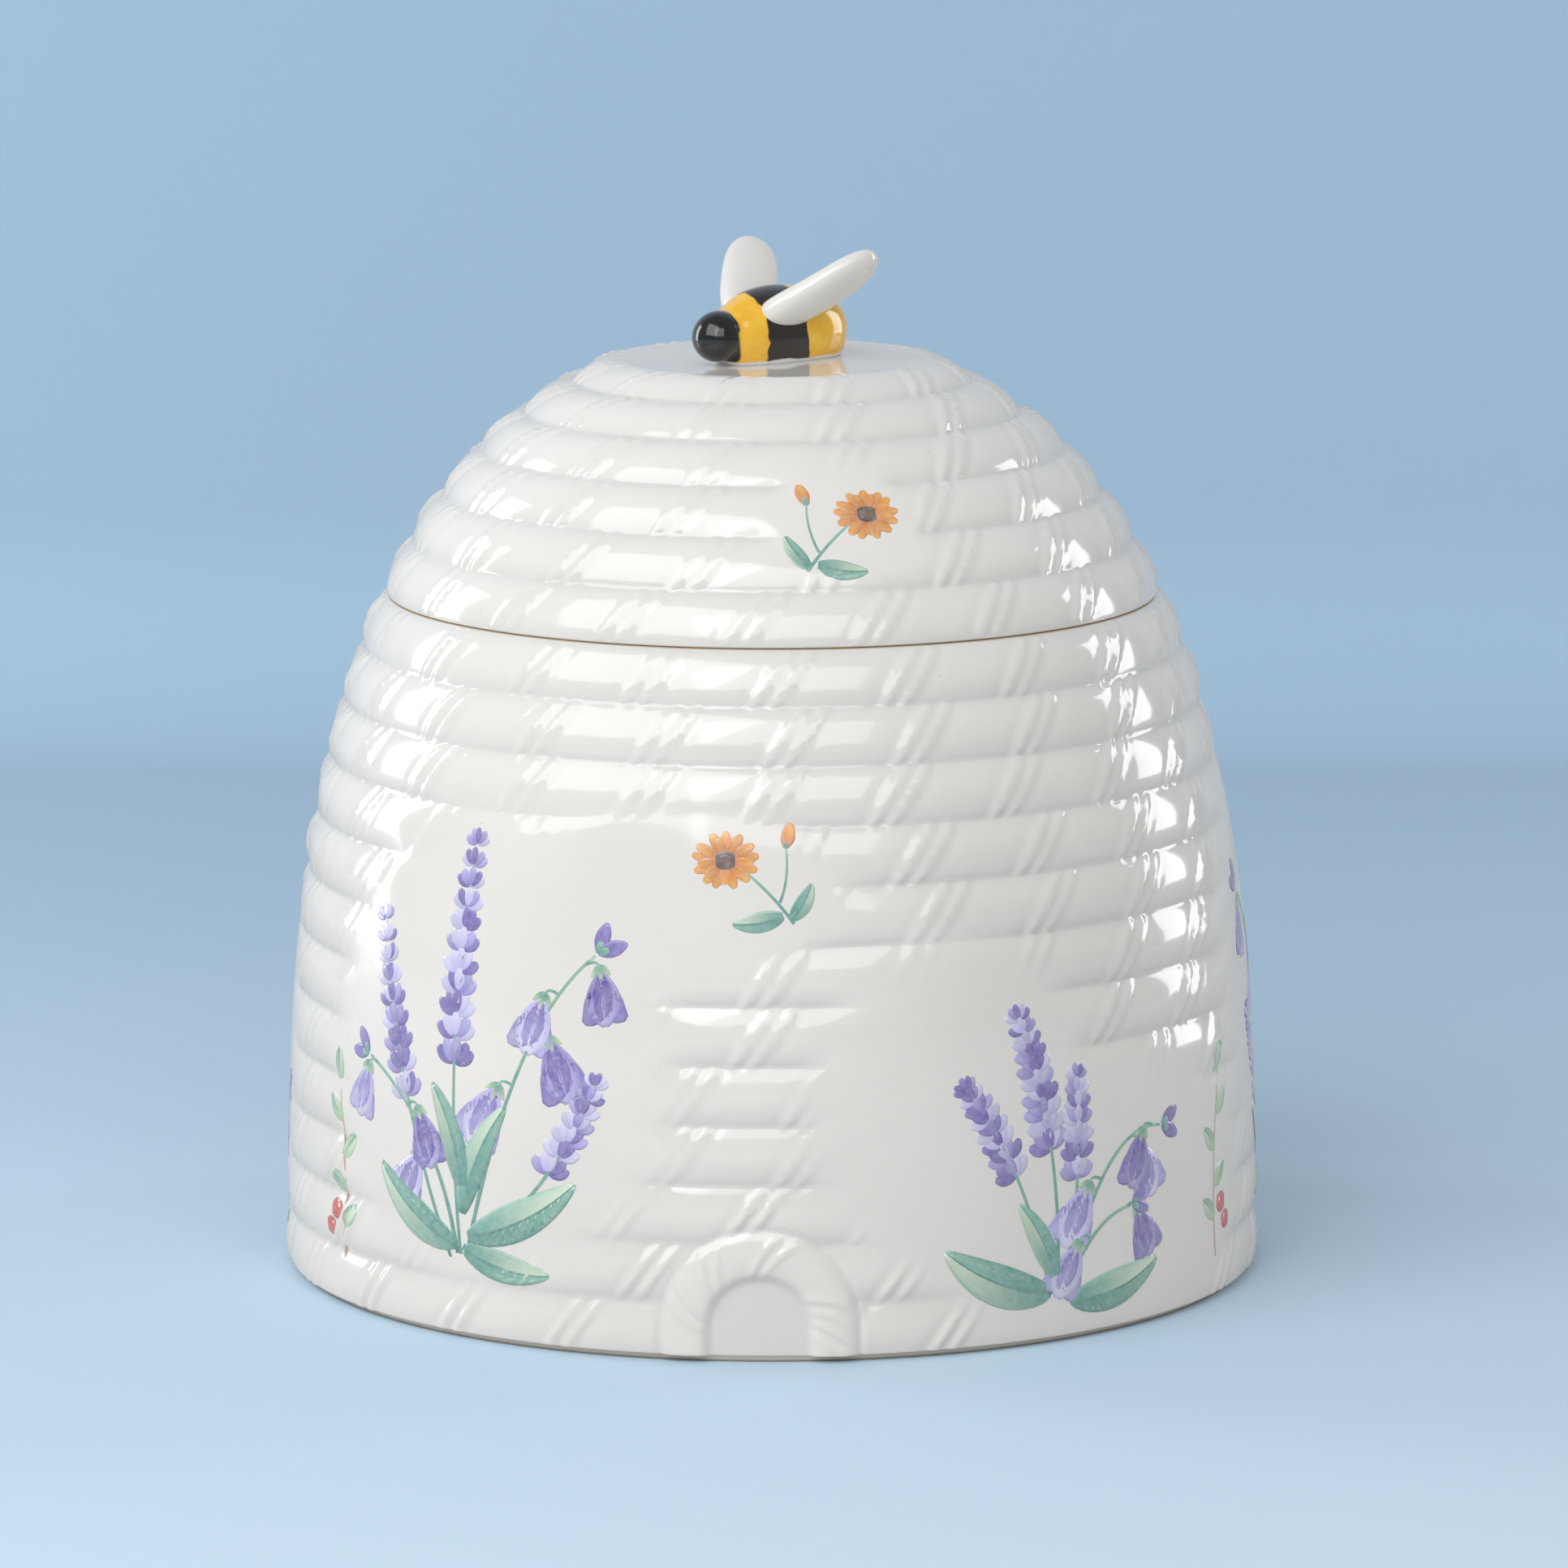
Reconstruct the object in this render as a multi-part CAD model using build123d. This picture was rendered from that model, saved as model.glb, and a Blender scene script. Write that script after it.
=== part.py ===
"""A lidded candy jar in glazed white porcelain, shaped like a coiled straw beehive.

The jar stands on a flat foot ring. Its lid carries on the dome, drops a plain locating flange into the
mouth and lifts straight off by a bee: one solid casting with two flat wings luted to its sides.
Millimetres, +Z up, origin on the table under the middle of the jar, the entrance arch towards -Y.
"""
from build123d import *
import math
import os

# The dome: a superellipse, radius = half the width * (1 - (z / apex) ** rise) ** (1 / fall).
base_diameter = 189.9       # width of the dome outline at the table
dome_apex = 180.9           # height at which the dome outline would close
dome_rise = 2.65
dome_fall = 2.48

# The coils that run round the dome, counted from the table.
coil_pitch = 11.19          # one coil, measured along the outline
coil_groove_depth = 0.8     # how far the groove between two coils lies inside the dome outline
coil_crown = 1.4            # how far a coil's crown stands over the line between its two grooves
jar_coils = 12
least_top_radius = 25.0     # the coils end before the dome gets narrower than the bee needs to stand on
seam_edge_radius = 0.6      # rounding of the two edges that meet at the seam

# The jar's wall, floor and foot.
jar_wall = 4.6
floor_thickness = 5.0
floor_corner_radius = 12.0
foot_recess = 1.6           # how far the underside lies over the table, inside the foot ring
foot_ring_width = 7.0
foot_edge_radius = 1.4
lip_height = 7.0            # plain band inside the mouth that guides the lid
lip_taper_height = 7.0      # slope from the band back to the wall
rim_seat_width = 7.0        # level ring on which the lid sits, from the outline in to the mouth

# The lid.
lid_wall = 4.2
flange_depth = 9.0
flange_wall = 3.8
flange_clearance = 0.8      # between the flange and the mouth, on each side

# The entrance arch, a band of straw rope moulded on the front.
arch_offset = -2.4          # middle of the arch, to the right of the jar's own middle
arch_opening_width = 18.2
arch_opening_height = 15.6
arch_band_width = 9.8
arch_relief = 1.0           # how far the band stands over the dome outline
arch_recess = 0.8           # how far the opening's face lies inside the dome outline
arch_band_rounding = 0.9
arch_opening_rounding = 0.5

# The bee. Its own axis is +X to the head and +Y to its left, with z from the lid's top.
bee_heading = 223.0         # direction of the head, degrees from +X
bee_x = -0.5
bee_y = -4.0
bee_axis_height = 5.4
bee_slimness = 0.81         # width of the body over its height
bee_nose = 18.2             # the nose and the tail, along the axis from the bee's middle
bee_tail = 17.6
bee_neck = 10.4
bee_head_radius = 4.7
bee_neck_radius = 4.5
bee_back_radius = 9.1
bee_back = -0.5             # where the back is highest
bee_rump = -13.0            # where the body begins to round off into the tail
bee_rump_radius = 6.1

# The wings, the same on both sides.
wing_length = 23.6
wing_width = 11.8
wing_root_width = 7.8
wing_widest = 13.5          # how far from the root a wing is widest
wing_thickness = 3.9
wing_root = (3.0, 4.2, 8.4)             # where a wing's middle line starts, inside the body
wing_reach = (-15.3, 13.05, 11.6)       # the way the left wing points
wing_twist = 3.0            # degrees that a wing's front edge is tipped up

same_surface = 0.25          # how near to a surface an edge lies to count as on it

dome_radius_at_table = base_diameter / 2


def dome_radius(z):
    """Radius of the dome outline at height z."""
    return dome_radius_at_table * (1 - (z / dome_apex) ** dome_rise) ** (1 / dome_fall)


def dome_point(z, inset):
    """Point (radius, z) that lies inset inside the dome outline, square to it."""
    step = 0.01
    slope = (dome_radius(z + step) - dome_radius(max(z - step, 0))) / (z + step - max(z - step, 0))
    length = math.hypot(1, slope)
    return (dome_radius(z) - inset / length, z + inset * slope / length)


def groove_heights():
    """Heights of the grooves, found by walking up the outline one coil pitch at a time."""
    heights = [0.0]
    step = 0.02
    z = 0.0
    walked = 0.0
    while dome_radius(z + step) >= least_top_radius:
        walked += math.hypot(step, dome_radius(z + step) - dome_radius(z))
        z += step
        if walked >= coil_pitch * len(heights):
            heights.append(z)
    return heights


grooves = groove_heights()
lid_coils = len(grooves) - 1 - jar_coils
seam_height = grooves[jar_coils]
top_height = grooves[jar_coils + lid_coils]
top_radius = dome_radius(top_height) - coil_groove_depth
mouth_radius = dome_radius(seam_height) - coil_groove_depth - rim_seat_width


def groove_point(number):
    """Point (radius, z) of a groove, drawn in level so that the seam and the top stay at their heights."""
    return (dome_radius(grooves[number]) - coil_groove_depth, grooves[number])


def coil_arc(first, second):
    """One coil's rounded outline between two groove points, bulging away from the jar."""
    run = Vector(second[0] - first[0], second[1] - first[1])
    middle = Vector((first[0] + second[0]) / 2, (first[1] + second[1]) / 2)
    crown = middle + Vector(run.Y, -run.X).normalized() * coil_crown
    return ThreePointArc(first, (crown.X, crown.Y), second)


def turned(profile):
    """Solid of revolution about Z from a face drawn with X as radius and Y as height."""
    return revolve(Plane.XZ * profile, Axis.Z)


def rounded_corner(profile, corner, radius):
    """The profile with the corner nearest to a point rounded."""
    nearest = sorted(profile.vertices(), key=lambda v: (Vector(v.X, v.Y) - Vector(*corner)).length)[0]
    return fillet(nearest, radius)


def inner_wall(low, high, wall, count):
    """Points (radius, z) of the smooth inner face of a wall, from one height to another."""
    heights = [low + (high - low) * i / (count - 1) for i in range(count)]
    return [dome_point(z, wall) for z in heights]


def arch_shape(half_width, height):
    """A flat arch that stands on the table: straight legs and a half-round top."""
    legs = Pos(0, (height - half_width) / 2) * Rectangle(2 * half_width, height - half_width)
    return legs + Pos(0, height - half_width) * Circle(half_width)


def dome_plug(inset, height):
    """The whole dome as a solid, inset inside its outline, up to a height."""
    points = [(dome_radius_at_table - inset, 0.0)]
    points += [dome_point(height * i / 4, inset) for i in range(1, 5)]
    side = Spline(*points)
    top = Line(points[-1], (0, points[-1][1]))
    axis = Line((0, points[-1][1]), (0, 0))
    floor = Line((0, 0), points[0])
    return turned(make_face([side, top, axis, floor]))


def jar_body():
    """The hollow jar: coiled outside, smooth inside, foot ring below and a plain guiding band in the mouth."""
    foot_outer = dome_radius_at_table - coil_groove_depth
    foot_inner = foot_outer - foot_ring_width
    floor_top = foot_recess + floor_thickness
    outline = [
        Line((0, foot_recess), (foot_inner - foot_recess, foot_recess)),
        Line((foot_inner - foot_recess, foot_recess), (foot_inner, 0)),
        Line((foot_inner, 0), (foot_outer, 0)),
    ]
    for number in range(jar_coils):
        outline.append(coil_arc(groove_point(number), groove_point(number + 1)))
    rim = groove_point(jar_coils)
    lip_low = seam_height - lip_height
    wall_top = lip_low - lip_taper_height
    wall_points = inner_wall(wall_top, floor_top + floor_corner_radius, jar_wall, 7)
    wall_line = Spline(*wall_points)
    wall_foot = wall_points[-1]
    corner_inset = floor_corner_radius * (1 - math.sqrt(0.5))
    corner_middle = (wall_foot[0] - corner_inset, floor_top + corner_inset)
    floor_edge = (wall_foot[0] - floor_corner_radius, floor_top)
    outline += [
        Line(rim, (mouth_radius, seam_height)),
        Line((mouth_radius, seam_height), (mouth_radius, lip_low)),
        Line((mouth_radius, lip_low), wall_points[0]),
        wall_line,
        ThreePointArc(wall_foot, corner_middle, floor_edge),
        Line(floor_edge, (0, floor_top)),
        Line((0, floor_top), (0, foot_recess)),
    ]
    profile = make_face(outline)
    profile = rounded_corner(profile, (foot_outer, 0), foot_edge_radius)
    profile = rounded_corner(profile, rim, seam_edge_radius)
    return entrance_arch(turned(profile))


def entrance_arch(jar):
    """The jar with the entrance moulded on: a raised band of rope round a shallow, smooth opening."""
    place = Plane.XZ * Pos(arch_offset, 0)
    opening = place * arch_shape(arch_opening_width / 2, arch_opening_height)
    band = place * arch_shape(arch_opening_width / 2 + arch_band_width, arch_opening_height + arch_band_width)
    reach = base_diameter
    height = arch_opening_height + 2 * arch_band_width
    shell = dome_plug(-arch_relief, height) - dome_plug(jar_wall / 2, height)
    raised = extrude(band, reach) & shell
    raised = fillet(front_edges(raised, arch_relief), arch_band_rounding)
    hollow = extrude(opening, reach) - dome_plug(arch_recess, height)
    jar = jar + raised - hollow
    band_middle = (arch_opening_width + arch_band_width) / 2
    rim = [e for e in front_edges(jar, arch_relief) if abs((e @ 0.5).X - arch_offset) < band_middle]
    return fillet(rim, arch_opening_rounding)


def front_edges(shape, stand):
    """The edges that lie on the front at a set distance over the dome outline, without those on the table."""
    found = []
    for edge in shape.edges():
        middle = edge @ 0.5
        over = math.hypot(middle.X, middle.Y) - dome_radius(middle.Z)
        if middle.Y < 0 and abs(over - stand) < same_surface and middle.Z > foot_edge_radius:
            found.append(edge)
    return found


def lid():
    """The hollow lid: six coils, a flat top for the bee, and a locating flange in one even wall."""
    flange_outer = mouth_radius - flange_clearance
    flange_inner = flange_outer - flange_wall
    flange_low = seam_height - flange_depth
    shelf = seam_height + lid_wall
    rim = groove_point(jar_coils)
    outline = [Line((0, top_height), (top_radius, top_height))]
    for number in range(jar_coils + lid_coils, jar_coils, -1):
        outline.append(coil_arc(groove_point(number - 1), groove_point(number)))
    roof = top_height - lid_wall
    inner_points = inner_wall(shelf + lid_wall, roof, lid_wall, 7)
    inner_points = [p for p in inner_points if p[1] < roof - lid_wall / 2]
    roof_edge = (dome_radius(top_height) - lid_wall, roof)
    inner_line = Spline(*inner_points, roof_edge)
    outline += [
        Line(rim, (flange_outer, seam_height)),
        Line((flange_outer, seam_height), (flange_outer, flange_low)),
        Line((flange_outer, flange_low), (flange_inner, flange_low)),
        Line((flange_inner, flange_low), (flange_inner, shelf)),
        Line((flange_inner, shelf), inner_points[0]),
        inner_line,
        Line(roof_edge, (0, roof)),
        Line((0, roof), (0, top_height)),
    ]
    profile = make_face(outline)
    profile = rounded_corner(profile, rim, seam_edge_radius)
    for corner in ((flange_outer, flange_low), (flange_inner, flange_low)):
        profile = rounded_corner(profile, corner, flange_wall / 4)
    return turned(profile)


def bee_place():
    """Where the bee stands: on the middle of the lid's top, turned to its heading."""
    return Pos(bee_x, bee_y, top_height) * Rot(0, 0, bee_heading)


def bee_spindle():
    """The bee's head and body as one turned solid about its own long axis, slimmed, before it is seated."""
    nose = (bee_nose, 0)
    neck = (bee_neck, bee_neck_radius)
    head_middle = ((bee_neck + bee_nose) / 2, bee_head_radius)
    tail = (-bee_tail, 0)
    back = Spline(
        neck, (bee_back, bee_back_radius), (bee_rump, bee_rump_radius), tail, tangents=[(-1, 1), (0, -1)]
    )
    head = Spline(nose, head_middle, neck, tangents=[(0, 1), (-1, -0.15)])
    turned_body = revolve(make_face([head, back, Line(tail, nose)]), Axis.X)
    return scale(turned_body, by=(1, bee_slimness, 1))


def bee_body():
    """The bee's casting, cut flat below where it is stuck to the lid."""
    spindle = Pos(0, 0, bee_axis_height) * bee_spindle()
    length = bee_nose + bee_tail
    above_lid = Box(2 * length, 2 * length, length, align=(Align.CENTER, Align.CENTER, Align.MIN))
    return bee_place() * (spindle & above_lid)


def wing_blade():
    """One wing lying flat: a drop-shaped blade along +X, rounded all over."""
    root = (-wing_thickness, 0)
    tip = (wing_length, 0)
    edge = Spline(
        root, (0, wing_root_width / 2), (wing_widest, wing_width / 2), tip, tangents=[(0, 1), (0, -1)]
    )
    drop = revolve(make_face([edge, Line(tip, root)]), Axis.X)
    return scale(drop, by=(1, 1, wing_thickness / wing_width))


def bee_wing(side):
    """The wing on one side (+1 left, -1 right), cut away where it is luted to the body."""
    along = Vector(wing_reach[0], side * wing_reach[1], wing_reach[2]).normalized()
    forward = (Vector(1, 0, 0) - along * along.X).normalized()
    face = along.cross(forward)
    tip_up = math.radians(wing_twist) * -side
    across = forward * math.cos(tip_up) + face * math.sin(tip_up)
    root = Vector(wing_root[0], side * wing_root[1], wing_root[2])
    blade = Plane(origin=root, x_dir=along, z_dir=along.cross(across)) * wing_blade()
    body = Pos(0, 0, bee_axis_height) * bee_spindle()
    pieces = (blade - body).solids()
    return bee_place() * max(pieces, key=lambda s: s.volume)


def main():
    os.makedirs("parts", exist_ok=True)
    parts = {
        "jar_body": jar_body(),
        "lid": lid(),
        "bee_body": bee_body(),
        "bee_wing_left": bee_wing(1),
        "bee_wing_right": bee_wing(-1),
    }
    for name, shape in parts.items():
        export_step(shape, f"parts/{name}.step")
    print("seam at", round(seam_height, 2), "top at", round(top_height, 2), "top radius", round(top_radius, 2),
          "mouth radius", round(mouth_radius, 2))


main()
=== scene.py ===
# %% [markdown]
# A covered candy jar in white glazed porcelain, cast in the form of a coiled straw beehive.
# The jar and its lid are two hollow castings, and a small painted bee with two wings is the lid's handle.
# This lesson dresses the measured model: it keeps every size and place, and gives each piece the surface
# that the potter gave it, with its coils, bindings, glaze, paint and printed flowers.

# %% Load the measured model
import bpy
import math
import numpy as np
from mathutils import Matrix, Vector


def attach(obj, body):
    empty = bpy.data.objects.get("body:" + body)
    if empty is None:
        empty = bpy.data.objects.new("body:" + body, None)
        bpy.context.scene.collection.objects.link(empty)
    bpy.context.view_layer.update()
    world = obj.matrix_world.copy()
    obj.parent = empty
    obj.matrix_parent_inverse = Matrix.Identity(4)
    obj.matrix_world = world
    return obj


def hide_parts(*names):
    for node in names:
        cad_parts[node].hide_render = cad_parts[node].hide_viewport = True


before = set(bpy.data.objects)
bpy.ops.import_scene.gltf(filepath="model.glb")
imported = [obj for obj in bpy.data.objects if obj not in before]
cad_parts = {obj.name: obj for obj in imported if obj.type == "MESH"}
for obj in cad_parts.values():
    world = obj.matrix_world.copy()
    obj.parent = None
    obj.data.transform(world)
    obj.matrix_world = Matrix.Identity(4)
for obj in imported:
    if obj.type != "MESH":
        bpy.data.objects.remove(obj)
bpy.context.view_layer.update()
MM = 0.001                    # every size below is in millimetres, and meshes are written in metres
random = np.random.default_rng(12)

# %% [markdown]
# Every coil of the hive is the same rope, so the outline is measured along itself, in coils.
# The outline is a superellipse. A table of its arc length, made once, turns "coil 7.3" into a height and
# a radius. The lid begins at coil 12, where the jar ends, and its flat top begins at coil 18.

# %% The dome and its coils
BASE_RADIUS = 94.95
APEX = 180.9
RISE, FALL = 2.65, 2.48
COIL_PITCH = 11.19
GROOVE_DEPTH = 0.8
CROWN = 1.16                  # how far a coil's crown stands over the line through the grooves
JAR_COILS, LID_COILS = 12, 6
ALL_COILS = JAR_COILS + LID_COILS
SLOPE_STEP = 0.05             # height over which the outline's slope is measured


def dome_radius(z):
    """Radius at height z: base radius * (1 - (z / apex) ** rise) ** (1 / fall)."""
    return BASE_RADIUS * np.maximum(1 - (z / APEX) ** RISE, 0) ** (1 / FALL)


height_table = np.linspace(0, APEX - 0.5, 20000)
radius_table = dome_radius(height_table)
length_table = np.concatenate([[0], np.cumsum(np.hypot(np.diff(height_table), np.diff(radius_table)))])
coil_table = length_table / COIL_PITCH


def height_at(coil):
    """The height of a place on the outline, counted in coils."""
    return np.interp(coil, coil_table, height_table)


def coil_at(z):
    """The place, counted in coils, of a height on the outline."""
    return np.interp(z, height_table, coil_table)


def outline(coil):
    """Radius, height and outward normal (radial, up) of the groove line at a place counted in coils."""
    z = height_at(coil)
    z_low, z_high = np.maximum(z - SLOPE_STEP, 0), z + SLOPE_STEP
    slope = (dome_radius(z_high) - dome_radius(z_low)) / (z_high - z_low)
    length = np.hypot(1, slope)
    return dome_radius(z) - GROOVE_DEPTH, z, 1 / length, -slope / length


def groove(number):
    """Radius and height of one groove, as plain numbers."""
    radius, z, _, _ = outline(np.array(float(number)))
    return float(radius), float(z)


FOOT_RADIUS, _ = groove(0)
RIM_RADIUS, SEAM = groove(JAR_COILS)
TOP_RADIUS, TOP = groove(ALL_COILS)
print("seam at", round(SEAM, 2), "top at", round(TOP, 2), "top radius", round(TOP_RADIUS, 2))

# %% [markdown]
# The straw rope is bound at even spaces: each binding shows as two narrow ridges that slant over the coil,
# and the bindings of one coil sit between those of the next. Where a spray of flowers is printed, the
# modeller smoothed the coils away, and the relief fades in and out softly at the border.

# %% The relief of the coils
BINDING_SPACING = 24.6        # along the coil
FEWEST_BINDINGS = 11
BINDING_SLANT = math.radians(36)
RIDGE_GAP = 3.1               # between the two ridges of a binding
RIDGE_WIDTH = 0.80
RIDGE_HEIGHT = 0.62
TROUGH, SHOULDER = 0.45, 0.35  # dips between the ridges and beside them, in ridge heights
MARK_IN_GROOVE = 0.40         # how much of a binding is left in the groove between two coils
ROPE_POWER = 2.3              # how full a coil is: 2 is a parabola, and more is flatter on top
EDGE_ROUNDING = 1.1           # how fast a smooth panel rounds off at the rims
RIM_FADE, TOP_FADE = 1.5, 7.0  # lengths over which bindings fade out at the rims and at the flat top
LOW_TRIM = 0.23               # how much flatter the lowest coils are, so that they stay inside the size
TRIM_FADE = 2.5, 6.0          # where that begins to fade and where it ends, in coils
# Azimuth in degrees of one binding on each coil, from the table to the top, as the modeller staggered them.
BINDING_STARTS = np.array([21.6, 15.8, 12.9, 4.1, 5.0, -1.0, 0.4, 20.4, 19.0, 16.4, 3.1, 1.6,
                           -2.6, -10.8, -15.2, -10.8, 17.6, 22.0])
SMOOTH_LEVEL = 0.80           # where a smooth panel lies, as a share of the crown
PANEL_BORDER = 0.86, 1.22     # where a panel's soft border begins and ends, in half widths

# Smooth panels: middle azimuth in degrees from the front, middle height, half width in degrees, half height.
PANELS = [
    (-37, 55, 25, 43), (-13, 88, 22, 15), (22, 46, 17, 31), (45, 24, 27, 27), (92, 60, 22, 40),
    (148, 46, 23, 38), (206, 58, 24, 40), (262, 40, 18, 34), (13, 153, 13, 10), (-118, 155, 14, 10),
    (128, 153, 13, 10),
]


def smooth_step(low, high, x):
    """0 below low, 1 above high, and 3t^2 - 2t^3 between."""
    t = np.clip((x - low) / (high - low), 0, 1)
    return t * t * (3 - 2 * t)


def relief_strength(azimuth, z):
    """1 on the coiled wall, 0 inside a smooth panel, with a soft border of oval shape."""
    strength = np.ones(np.broadcast(azimuth, z).shape)
    for middle, height, half_width, half_height in PANELS:
        across = (np.degrees(azimuth) - middle + 180) % 360 - 180
        reach = np.sqrt((across / half_width) ** 2 + ((z - height) / half_height) ** 2)
        strength = strength * smooth_step(*PANEL_BORDER, reach)
    return strength


def double_ridge(away, trough):
    """Two ridges a set gap apart, exp(-(u -+ gap/2)^2 / width^2), with a trough between them."""
    half = RIDGE_GAP / 2
    ridges = np.exp(-((away - half) / RIDGE_WIDTH) ** 2) + np.exp(-((away + half) / RIDGE_WIDTH) ** 2)
    return ridges - trough * np.exp(-(away / RIDGE_WIDTH) ** 2)


def binding(azimuth, coil, radius):
    """The bindings of each coil: double ridges at even spaces round it, which slant as they climb."""
    number = np.floor(coil)
    round_coil = 2 * math.pi * dome_radius(height_at(number + 0.5))
    count = np.maximum(np.round(round_coil / BINDING_SPACING), FEWEST_BINDINGS)
    start = np.radians(BINDING_STARTS[number.astype(int)])
    climb = (coil - number - 0.5) * COIL_PITCH * math.tan(BINDING_SLANT)
    turn = (azimuth - start - climb / radius) / (2 * math.pi) * count
    away = (turn - np.round(turn)) / count * 2 * math.pi * radius * math.cos(BINDING_SLANT)
    shoulder = np.exp(-((np.abs(away) - RIDGE_GAP) / (RIDGE_WIDTH * 1.3)) ** 2)
    return double_ridge(away, TROUGH) - SHOULDER * shoulder


def relief(azimuth, coil, first, last):
    """Height of the glazed surface over the groove line, at an azimuth and a place counted in coils."""
    radius, z, _, _ = outline(coil)
    place = np.minimum(coil, last - 1e-6)
    rope = 1 - np.abs(2 * (place - np.floor(place)) - 1) ** ROPE_POWER
    edge = np.minimum(coil - first, last - coil) * COIL_PITCH
    smooth = SMOOTH_LEVEL * (1 - np.exp(-np.maximum(edge, 0) / EDGE_ROUNDING))
    strength = relief_strength(azimuth, z)
    body = CROWN * (strength * rope + (1 - strength) * smooth)
    reach = MARK_IN_GROOVE + (1 - MARK_IN_GROOVE) * rope
    marks = RIDGE_HEIGHT * binding(azimuth, place, radius) * reach * strength
    below_top = (ALL_COILS - coil) * COIL_PITCH
    marks = marks * np.clip(edge / RIM_FADE, 0, 1) * smooth_step(0, TOP_FADE, below_top)
    return (body + marks) * (1 - LOW_TRIM * (1 - smooth_step(*TRIM_FADE, coil)))


# %% [markdown]
# The entrance of the hive is a low arch on the front, framed by one more turn of rope, with bindings of
# its own. It is laid out on the wall unrolled flat: x runs along the wall from the front, and y up it.

# %% The entrance arch
ARCH_X = -2.4
ARCH_OPENING = 18.2           # width of the opening
ARCH_SPRING = 6.5             # height at which the legs turn into the half circle
ARCH_BAND = 9.8               # width of the rope round it
ARCH_RISE = 1.47              # how far the rope stands over the groove line
# Places of its bindings, in millimetres along the rope from the foot of the right leg.
ARCH_TIES = np.array([4.4, 10.6, 26.6, 38.5, 47.0])
ARCH_TIE_SLANT = 3.0          # how far a binding climbs from the middle of the rope to its edge
ARCH_TROUGH = 0.4
ARCH_INSIDE, ARCH_OUTSIDE = (-0.62, -1.14), (0.70, 1.30)   # where it blends away, in half widths of the rope
ARCH_TIE_SHARE = 0.55         # height of these bindings, as a share of those on the coils


def arch_relief(wall, azimuth, coil):
    """The wall with the arch laid over it: a rounded band about a half circle on two legs."""
    x = ((azimuth + math.pi) % (2 * math.pi) - math.pi) * BASE_RADIUS - ARCH_X
    y = coil * COIL_PITCH
    middle = (ARCH_OPENING + ARCH_BAND) / 2
    over = np.maximum(y - ARCH_SPRING, 0)
    q = (np.hypot(x, over) - middle) / (ARCH_BAND / 2)
    turned = np.arctan2(over, np.where(np.abs(x) < 1e-9, 1e-9, x))
    along = np.where(y < ARCH_SPRING, np.where(x > 0, y, math.pi * middle + 2 * ARCH_SPRING - y),
                     ARCH_SPRING + turned * middle)
    rope = np.sqrt(np.clip(1 - np.abs(q) ** 2.4, 0, 1))
    ties = double_ridge((along + q * ARCH_TIE_SLANT)[..., None] - ARCH_TIES, ARCH_TROUGH).sum(axis=-1)
    band = (ARCH_RISE + RIDGE_HEIGHT * ARCH_TIE_SHARE * ties) * rope
    blend = smooth_step(*ARCH_OUTSIDE, q)
    return np.where(q < 0, band * (1 - smooth_step(*ARCH_INSIDE, q)), band * (1 - blend) + wall * blend)


# %% [markdown]
# A thrown or cast pot is a profile turned round an axis, so each shell is one grid: rings of points from
# the middle of one face, round the edges, to the middle of the other. The outer rings are pushed out by
# the relief. Each row of the grid is a ring, and each end is closed with a fan of triangles to one point.

# %% Helpers that build meshes from grids
def new_object(name, points, faces):
    """A smooth-shaded mesh object in metres, from points in millimetres."""
    mesh = bpy.data.meshes.new(name)
    mesh.from_pydata((np.asarray(points) * MM).tolist(), [], faces)
    mesh.polygons.foreach_set("use_smooth", np.ones(len(mesh.polygons), dtype=bool))
    mesh.update()
    made = bpy.data.objects.new(name, mesh)
    bpy.context.scene.collection.objects.link(made)
    print(name, len(faces), "faces")
    return made


def new_piece(name, points, faces):
    """A mesh object that is a piece of the jar."""
    piece = new_object(name, points, faces)
    return piece


def ring_faces(rows, columns, offset=0):
    """Quads between neighbouring rings of a grid that is closed round its columns."""
    row, column = np.meshgrid(np.arange(rows - 1), np.arange(columns), indexing="ij")
    here = offset + row * columns + column
    beside = offset + row * columns + (column + 1) % columns
    return np.stack([here, beside, beside + columns, here + columns], axis=-1).reshape(-1, 4)


def closed_grid(rings, low_pole, high_pole):
    """Points and faces of a closed skin: rings (rows, columns, 3) with a pole at each end."""
    rows, columns, _ = rings.shape
    points = np.concatenate([rings.reshape(-1, 3), [low_pole], [high_pole]])
    faces = ring_faces(rows, columns).tolist()
    low, high = rows * columns, rows * columns + 1
    column = np.arange(columns)
    after = (column + 1) % columns
    last = (rows - 1) * columns
    faces += np.stack([after, column, np.full(columns, low)], axis=-1).tolist()
    faces += np.stack([last + column, last + after, np.full(columns, high)], axis=-1).tolist()
    return points, faces


def corner(start, end, centre_turn, steps):
    """Points (radius, z) on a quarter circle from start to end; centre_turn +1 bulges left of the way."""
    start, end = np.array(start, float), np.array(end, float)
    half = (end - start) / 2
    centre = (start + end) / 2 + centre_turn * np.array([-half[1], half[0]])
    angle = math.atan2(*(start - centre)[::-1]) + centre_turn * math.pi / 2 * np.linspace(0, 1, steps)
    return centre + np.linalg.norm(start - centre) * np.stack([np.cos(angle), np.sin(angle)], axis=-1)


def round_axis(radius, azimuth, z):
    """Points from a radius, an azimuth (0 at the front, -Y, growing towards +X) and a height."""
    x = radius * np.sin(azimuth)
    return np.stack([x, -radius * np.cos(azimuth), np.broadcast_to(z, x.shape)], axis=-1)


def spin(profile, azimuth):
    """Rings from a profile of (radius, z), turned about Z."""
    profile = np.asarray(profile)
    return round_axis(profile[:, 0, None], azimuth, profile[:, 1, None])


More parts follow.
